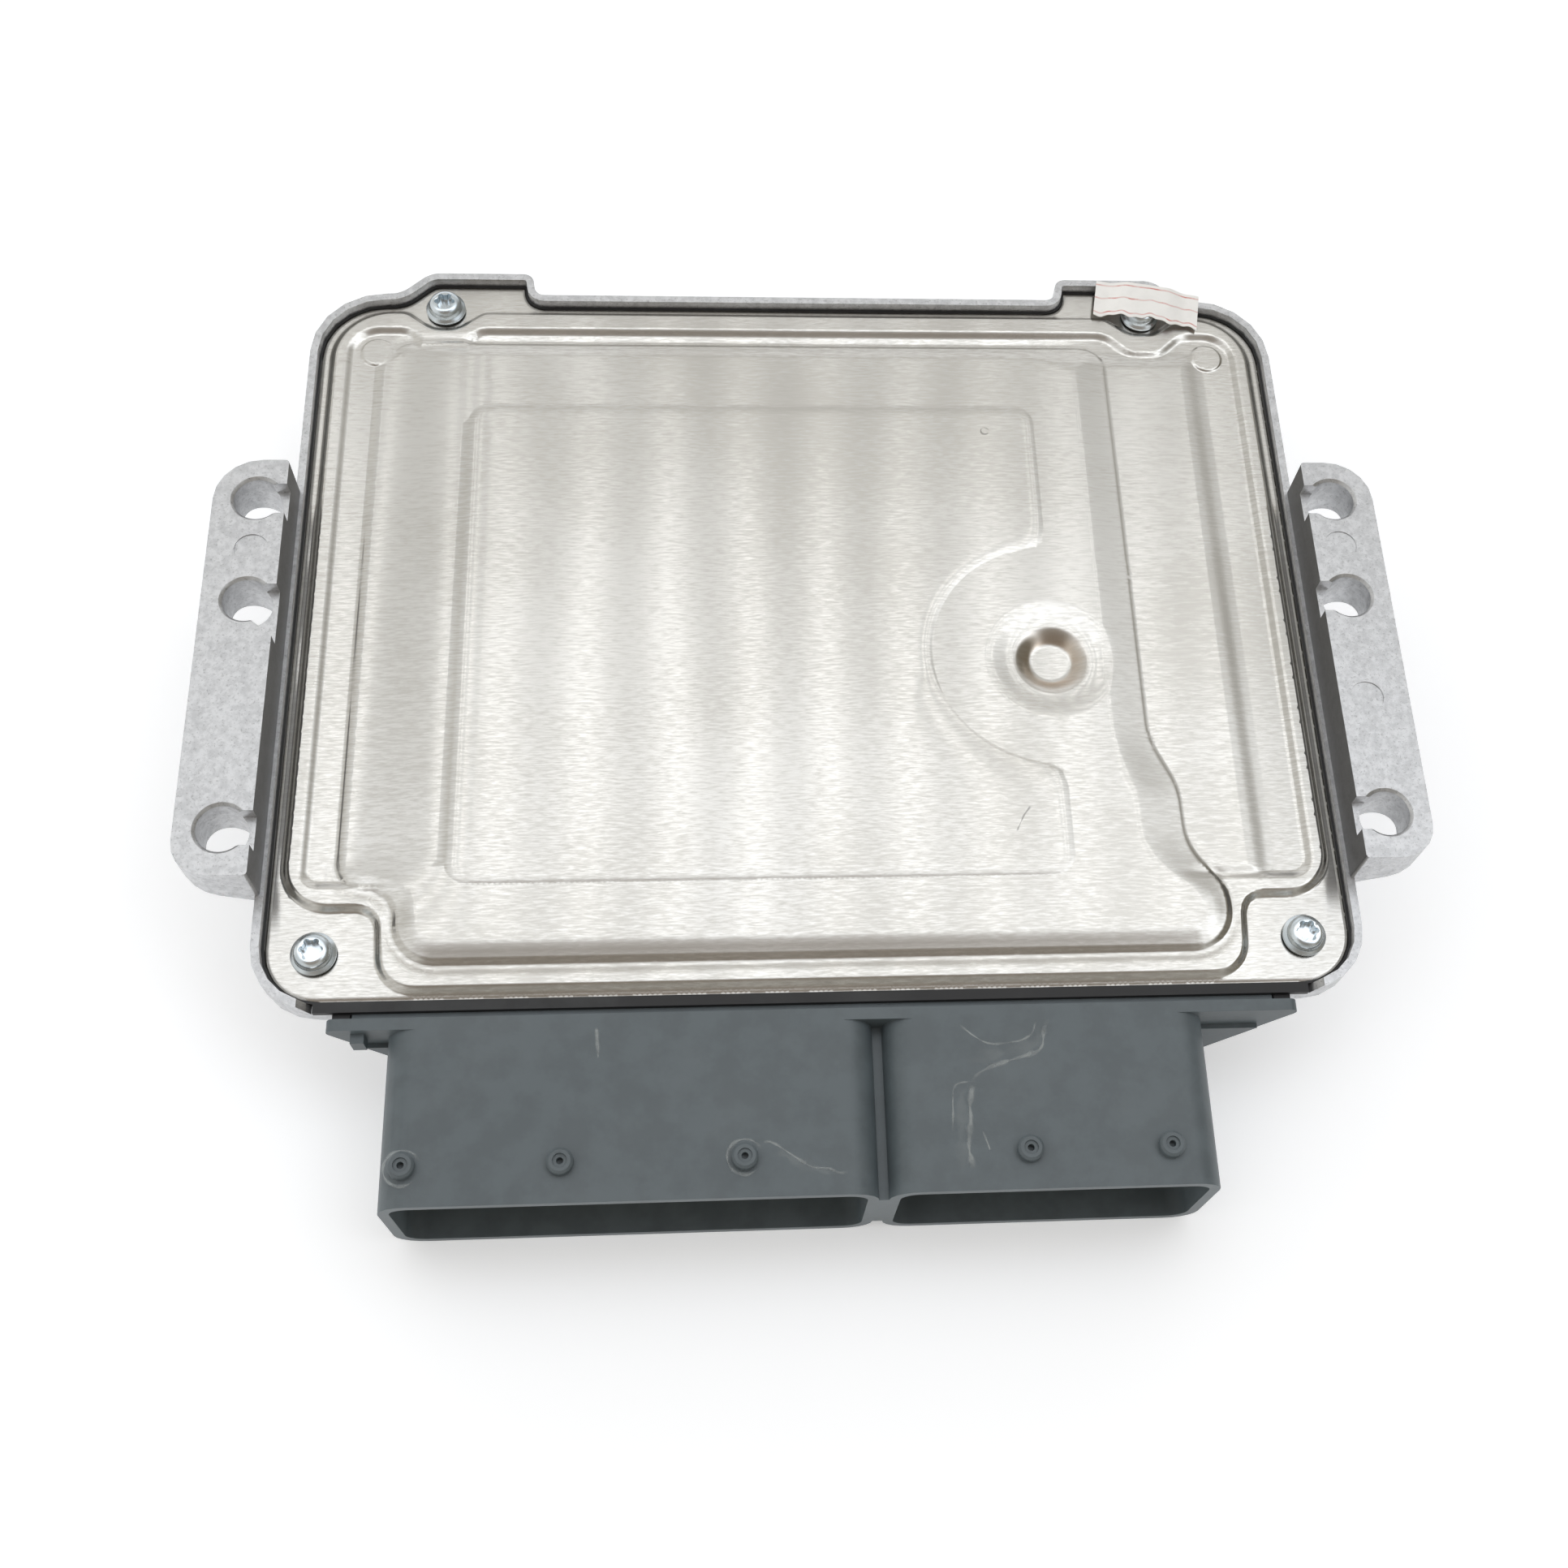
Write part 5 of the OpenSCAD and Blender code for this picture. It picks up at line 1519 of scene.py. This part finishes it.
@dataclass
class HeaderResidue:
    """Dried water marks on the connector header, measured from the middle of its mouth."""

    finish: Finish
    haze: Finish
    roof_drop: float = 1.6
    ring_r: float = 2.9
    ring_width: float = 0.8
    ring_sweep: tuple[float, float, int] = (0.3, 5.6, 24)
    haze_lift: float = 0.02

    def _trails(self) -> list[FilmTrail]:
        """Lists the clear trails and the rings around two bosses.

        Returns:
            The trails.
        """
        angles = np.linspace(*self.ring_sweep)
        return [
            FilmTrail("residue_edge", 1.1, (
                (37.4, 28.3), (36.2, 25.8), (36.1, 23.5), (35.2, 22.3),
                (31.4, 21.3), (27.1, 20.0), (24.5, 18.7), (23.8, 17.1),
            )),
            FilmTrail("residue_drip", 1.4, (
                (23.9, 17.6), (23.7, 15.3), (23.2, 13.9), (23.4, 11.8),
                (23.1, 9.8), (22.7, 7.6), (22.7, 6.2), (23.3, 3.2),
            )),
            FilmTrail("residue_upper", 0.6, (
                (22.3, 27.4), (24.2, 25.6), (26.3, 24.1), (28.0, 23.7), (32.3, 24.2), (34.4, 25.2), (35.3, 28.1),
            )),
            FilmTrail("residue_side", 0.5, (
                (23.9, 17.5), (22.0, 17.6), (20.8, 17.0), (20.6, 15.1), (20.5, 12.3), (20.2, 9.3),
            )),
            FilmTrail("residue_tick", 0.5, ((25.1, 9.5), (26.1, 6.3))),
            FilmTrail("residue_left", 0.9, ((-36.5, 28.2), (-36.1, 22.8))),
            FilmTrail("residue_boss", 0.6, (
                (-10.5, 8.2), (-9.6, 9.0), (-8.3, 8.5), (-4.5, 5.8), (-2.2, 4.3), (0.7, 4.3), (1.7, 3.2), (3.6, 3.7),
            )),
            FilmTrail("residue_ring_a", self.ring_width, circle((-12.9, 6.4), self.ring_r, angles)),
            FilmTrail("residue_ring_b", self.ring_width, circle((-66.1, 6.1), self.ring_r, angles)),
        ]

    def _hazes(self) -> list[FilmTrail]:
        """Lists the wide faint trails.

        Returns:
            The trails.
        """
        run = ((36.0, 27.0), (35.1, 23.8), (30.6, 22.5), (25.8, 21.7), (23.1, 20.7))
        return [
            FilmTrail("haze_run", 3.6, run, self.haze_lift),
            FilmTrail("haze_side", 3.2, ((22.2, 17.0), (21.8, 10.0), (21.5, 3.0)), self.haze_lift),
            FilmTrail("haze_boss", 2.8, ((-8.0, 7.4), (-4.0, 5.0), (1.0, 3.4)), self.haze_lift),
        ]

    def build(self) -> None:
        """Lays all trails."""
        low, high = (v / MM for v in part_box("connector_header"))
        for finish, trails in ((self.finish, self._trails()), (self.haze, self._hazes())):
            film = finish.make()
            for trail in trails:
                trail.build((0.0, low.y), high.z - self.roof_drop, film)


@dataclass
class CoverScuffs:
    """Small dark scuffs on the pressed cover. Sizes in millimetres, from the vent."""

    cover: PressedCover
    finish: Finish
    width: float = 0.5
    lift: float = 0.02
    step: float = 0.2
    ring_place: Place = (-8.7, 48.8)
    ring_r: float = 0.8
    ring_sweep: tuple[float, float, int] = (0.0, 6.0, 16)
    run: tuple[Place, ...] = ((-9.0, -33.8), (-7.5, -30.7), (-6.1, -28.9))

    def build(self) -> None:
        """Lays the scuffs on the cover's skin."""
        film = self.finish.make()
        ring = circle(self.ring_place, self.ring_r, np.linspace(*self.ring_sweep))
        for name, route in (("scuff_ring", ring), ("scuff_run", self.run)):
            top = float(self.cover.relief(np.array(self.cover.vent) + np.array(route)).height.max())
            trail = FilmTrail(name, self.width, route, self.lift, self.step, "pressed_sheet")
            trail.build(self.cover.vent, top, film)


@dataclass
class Studio:
    """Floor, light and camera around the unit. Sizes in metres."""

    camera_place: Corner = (-0.0160, -0.15352, 0.31865)
    camera_right: Corner = (0.99642, -0.04565, 0.07112)
    camera_up: Corner = (0.01129, 0.90591, 0.42332)
    image_side: float = 1932.0
    focal_pixels: float = 2300.0
    principal: Place = (1081.6, 953.9)
    sensor_mm: float = 36.0
    nearest: float = 0.01
    floor_half: float = 6.0
    floor_colour: Rgb = (0.92, 0.935, 0.96)
    floor_roughness: float = 0.7
    floor_glow: float = 0.33
    strip_count: int = 13
    strip_spacing: float = 0.0641
    strip_height: float = 1.05
    strip_y: float = 0.55
    strip_size: Place = (0.013, 0.40)
    strip_x: float = 0.0072
    strip_watts: float = 0.045
    sky_top: Rgb = (2.25, 2.31, 2.4)
    sky_back: Rgb = (0.48, 0.465, 0.43)
    sky_low: Rgb = (1.05, 1.05, 1.05)
    sky_left: Rgb = (0.82, 0.81, 0.78)
    sky_right: Rgb = (0.26, 0.24, 0.20)
    sky_camera: Rgb = (0.30, 0.26, 0.22)
    top_span: Span = (0.76, 0.99)
    top_power: float = 2.8
    low_span: Span = (0.68, 0.86)
    right_span: Span = (0.50, 0.85)
    left_span: Span = (-0.75, -0.10)
    camera_span: Span = (0.76, 0.95)

    def build(self) -> None:
        """Sets up the whole studio."""
        bpy.context.scene.view_settings.view_transform = "Standard"
        self._floor()
        self._sky()
        self._strips()
        self._camera()
        LOG.info("studio: floor, sky, strips and camera")

    def _floor(self) -> None:
        """Lays the plain pale floor."""
        mesh = bpy.data.meshes.new("floor")
        s = self.floor_half
        mesh.from_pydata([(-s, -s, 0.0), (s, -s, 0.0), (s, s, 0.0), (-s, s, 0.0)], [], [(0, 1, 2, 3)])
        floor = bpy.data.objects.new("floor", mesh)
        bpy.context.scene.collection.objects.link(floor)
        material = bpy.data.materials.new("pale_floor")
        material.use_nodes = True
        shader = material.node_tree.nodes["Principled BSDF"]
        shader.inputs["Base Color"].default_value = (*self.floor_colour, 1.0)
        shader.inputs["Roughness"].default_value = self.floor_roughness
        shader.inputs["Emission Color"].default_value = (1.0, 1.0, 1.0, 1.0)
        shader.inputs["Emission Strength"].default_value = self.floor_glow
        mesh.materials.append(material)

    def _sky(self) -> None:
        """Makes the soft surround: bright overhead, darker to the right and where the camera stands."""
        world = bpy.data.worlds.new("surround")
        bpy.context.scene.world = world
        world.use_nodes = True
        tree = ShaderTree(world.node_tree)
        back = tree.add("ShaderNodeBackground")
        tree.feed(tree.add("ShaderNodeOutputWorld").inputs["Surface"], back.outputs[0])
        around = tree.add("ShaderNodeTexCoord").outputs["Generated"]
        x, y, z = tree.axes(around)
        aim = tree.add("ShaderNodeVectorMath", operation="DOT_PRODUCT")
        tree.fed(aim, around, tuple(Vector(self.camera_place).normalized()))
        overhead = tree.span(tree.math("DIVIDE", z, tree.length(y, z)), *self.top_span)
        colour = tree.blend(tree.math("POWER", overhead, self.top_power), self.sky_back, self.sky_top)
        for share, part in (
            (tree.span(y, *self.low_span), self.sky_low),
            (tree.span(x, *self.right_span), self.sky_right),
            (tree.span(x, *self.left_span, 1.0, 0.0), self.sky_left),
            (tree.span(aim.outputs["Value"], *self.camera_span), self.sky_camera),
        ):
            colour = tree.blend(share, colour, part)
        tree.feed(back.inputs["Color"], colour)

    def _strips(self) -> None:
        """Hangs a row of narrow lamps that the sheet's grain draws out into streaks."""
        for i in range(self.strip_count):
            lamp = bpy.data.lights.new(f"strip_{i}", "AREA")
            lamp.shape = "RECTANGLE"
            lamp.size, lamp.size_y = self.strip_size
            lamp.energy = self.strip_watts
            strip = bpy.data.objects.new(lamp.name, lamp)
            x = self.strip_x + (i - (self.strip_count - 1) / 2) * self.strip_spacing
            strip.location = (x, self.strip_y, self.strip_height)
            bpy.context.scene.collection.objects.link(strip)

    def _camera(self) -> None:
        """Places the camera at the photograph's angle."""
        lens = bpy.data.cameras.new("camera")
        lens.sensor_fit = "HORIZONTAL"
        lens.sensor_width = self.sensor_mm
        lens.lens = self.sensor_mm * self.focal_pixels / self.image_side
        lens.shift_x = (self.image_side / 2 - self.principal[0]) / self.image_side
        lens.shift_y = (self.principal[1] - self.image_side / 2) / self.image_side
        lens.clip_start = self.nearest
        camera = bpy.data.objects.new("camera", lens)
        right, up = Vector(self.camera_right), Vector(self.camera_up)
        back = right.cross(up).normalized()
        up = back.cross(right).normalized()
        turn = Matrix((right.normalized(), up, back)).transposed()
        camera.matrix_world = Matrix.Translation(self.camera_place) @ turn.to_4x4()
        bpy.context.scene.collection.objects.link(camera)
        bpy.context.scene.camera = camera


class ControlUnit:
    """The whole unit: which solid gets which finish, and which pieces replace solids."""

    def __init__(self, nodes: dict[str, bpy.types.Object]) -> None:
        """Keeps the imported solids, by name."""
        self.nodes = nodes

    def build(self) -> None:
        """Builds and dresses every piece."""
        low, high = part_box("vent_membrane")
        cover = PressedCover(PressedSheet("pressed_sheet", vent=((low.x + high.x) / 2, (low.y + high.y) / 2)))
        cover.build()
        CoverScuffs(cover, DriedFilm("scuff", (0.10, 0.095, 0.09), 0.36)).build()
        SealLabel(RuledPaper("seal_paper")).build()
        HeaderResidue(DriedFilm("dried_film"), DriedFilm("dried_haze", strongest=0.14)).build()
        for solid in (*self._outside(), *self._inside()):
            solid.build(self.nodes)

    @staticmethod
    def _outside() -> list[DressedSolid]:
        """Lists the solids that show from outside.

        Returns:
            The solids with their finishes.
        """
        rubber = MouldedSkin("seal_rubber", (0.012, 0.012, 0.013), dust_amount=0.08, roughness=0.55)
        header = MouldedSkin("header_plastic", (0.096, 0.117, 0.128), dust_amount=0.06)
        film = MouldedSkin("vent_film", (0.93, 0.92, 0.90), dust_amount=0.0, roughness=0.7)
        return [
            DressedSolid("housing", CastSkin("cast_alloy"), edge_radius=0.4),
            DressedSolid("connector_header", header, edge_radius=0.3),
            DressedSolid(
                "cover_screws", PlatedMetal("zinc_plate", (0.78, 0.84, 0.88), (0.58, 0.64, 0.68)), edge_radius=0.12
            ),
            DressedSolid("cover_seal", rubber),
            DressedSolid("connector_seal", rubber),
            DressedSolid("vent_membrane", film),
        ]

    @staticmethod
    def _inside() -> list[DressedSolid]:
        """Lists the solids inside the housing and the contacts.

        Returns:
            The solids with their finishes.
        """
        contact = PlatedMetal("plated_contact", (0.86, 0.72, 0.40), (0.70, 0.55, 0.28), roughness=0.24)
        resin = MouldedSkin("chip_resin", (0.022, 0.022, 0.024), dust_amount=0.1, roughness=0.5, scale=600.0)
        ferrite = MouldedSkin("ferrite", (0.06, 0.056, 0.055), dust_amount=0.1, roughness=0.6, scale=500.0)
        bare_can = PlatedMetal("drawn_can", (0.83, 0.83, 0.84), (0.66, 0.66, 0.68), roughness=0.28)
        steel = PlatedMetal("board_screw_steel", (0.68, 0.68, 0.70), (0.52, 0.52, 0.54), roughness=0.3)
        laminate = MouldedSkin("board_laminate", (0.012, 0.10, 0.045), roughness=0.32, scale=220.0)
        ceramic = MouldedSkin("fired_ceramic", (0.38, 0.27, 0.16), roughness=0.5, scale=900.0)
        silicone = MouldedSkin("soft_filler", (0.55, 0.33, 0.36), roughness=0.7, scale=300.0)
        finishes: dict[Finish, tuple[str, ...]] = {
            contact: ("large_bay_signal_pins", "large_bay_power_pins", "small_bay_signal_pins"),
            resin: (
                "microcontroller", "flash_memory", "driver_chips", "power_transistors", "pressure_sensor",
                "voltage_regulator", "bus_transceivers", "clamp_diodes",
            ),
            ferrite: ("choke_coil", "shunt_resistors"),
            bare_can: ("electrolytic_capacitors", "crystal"),
            steel: ("board_screws",),
            laminate: ("circuit_board",),
            ceramic: ("ceramic_capacitors",),
            silicone: ("thermal_pads",),
        }
        return [DressedSolid(node, finish) for finish, nodes in finishes.items() for node in nodes]


def main() -> None:
    """Builds the unit in its studio."""
    logging.basicConfig(level=logging.INFO, format="%(name)s: %(message)s")
    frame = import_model()
    ControlUnit(frame["nodes"]).build()
    Studio().build()


if __name__ == "__main__":
    main()
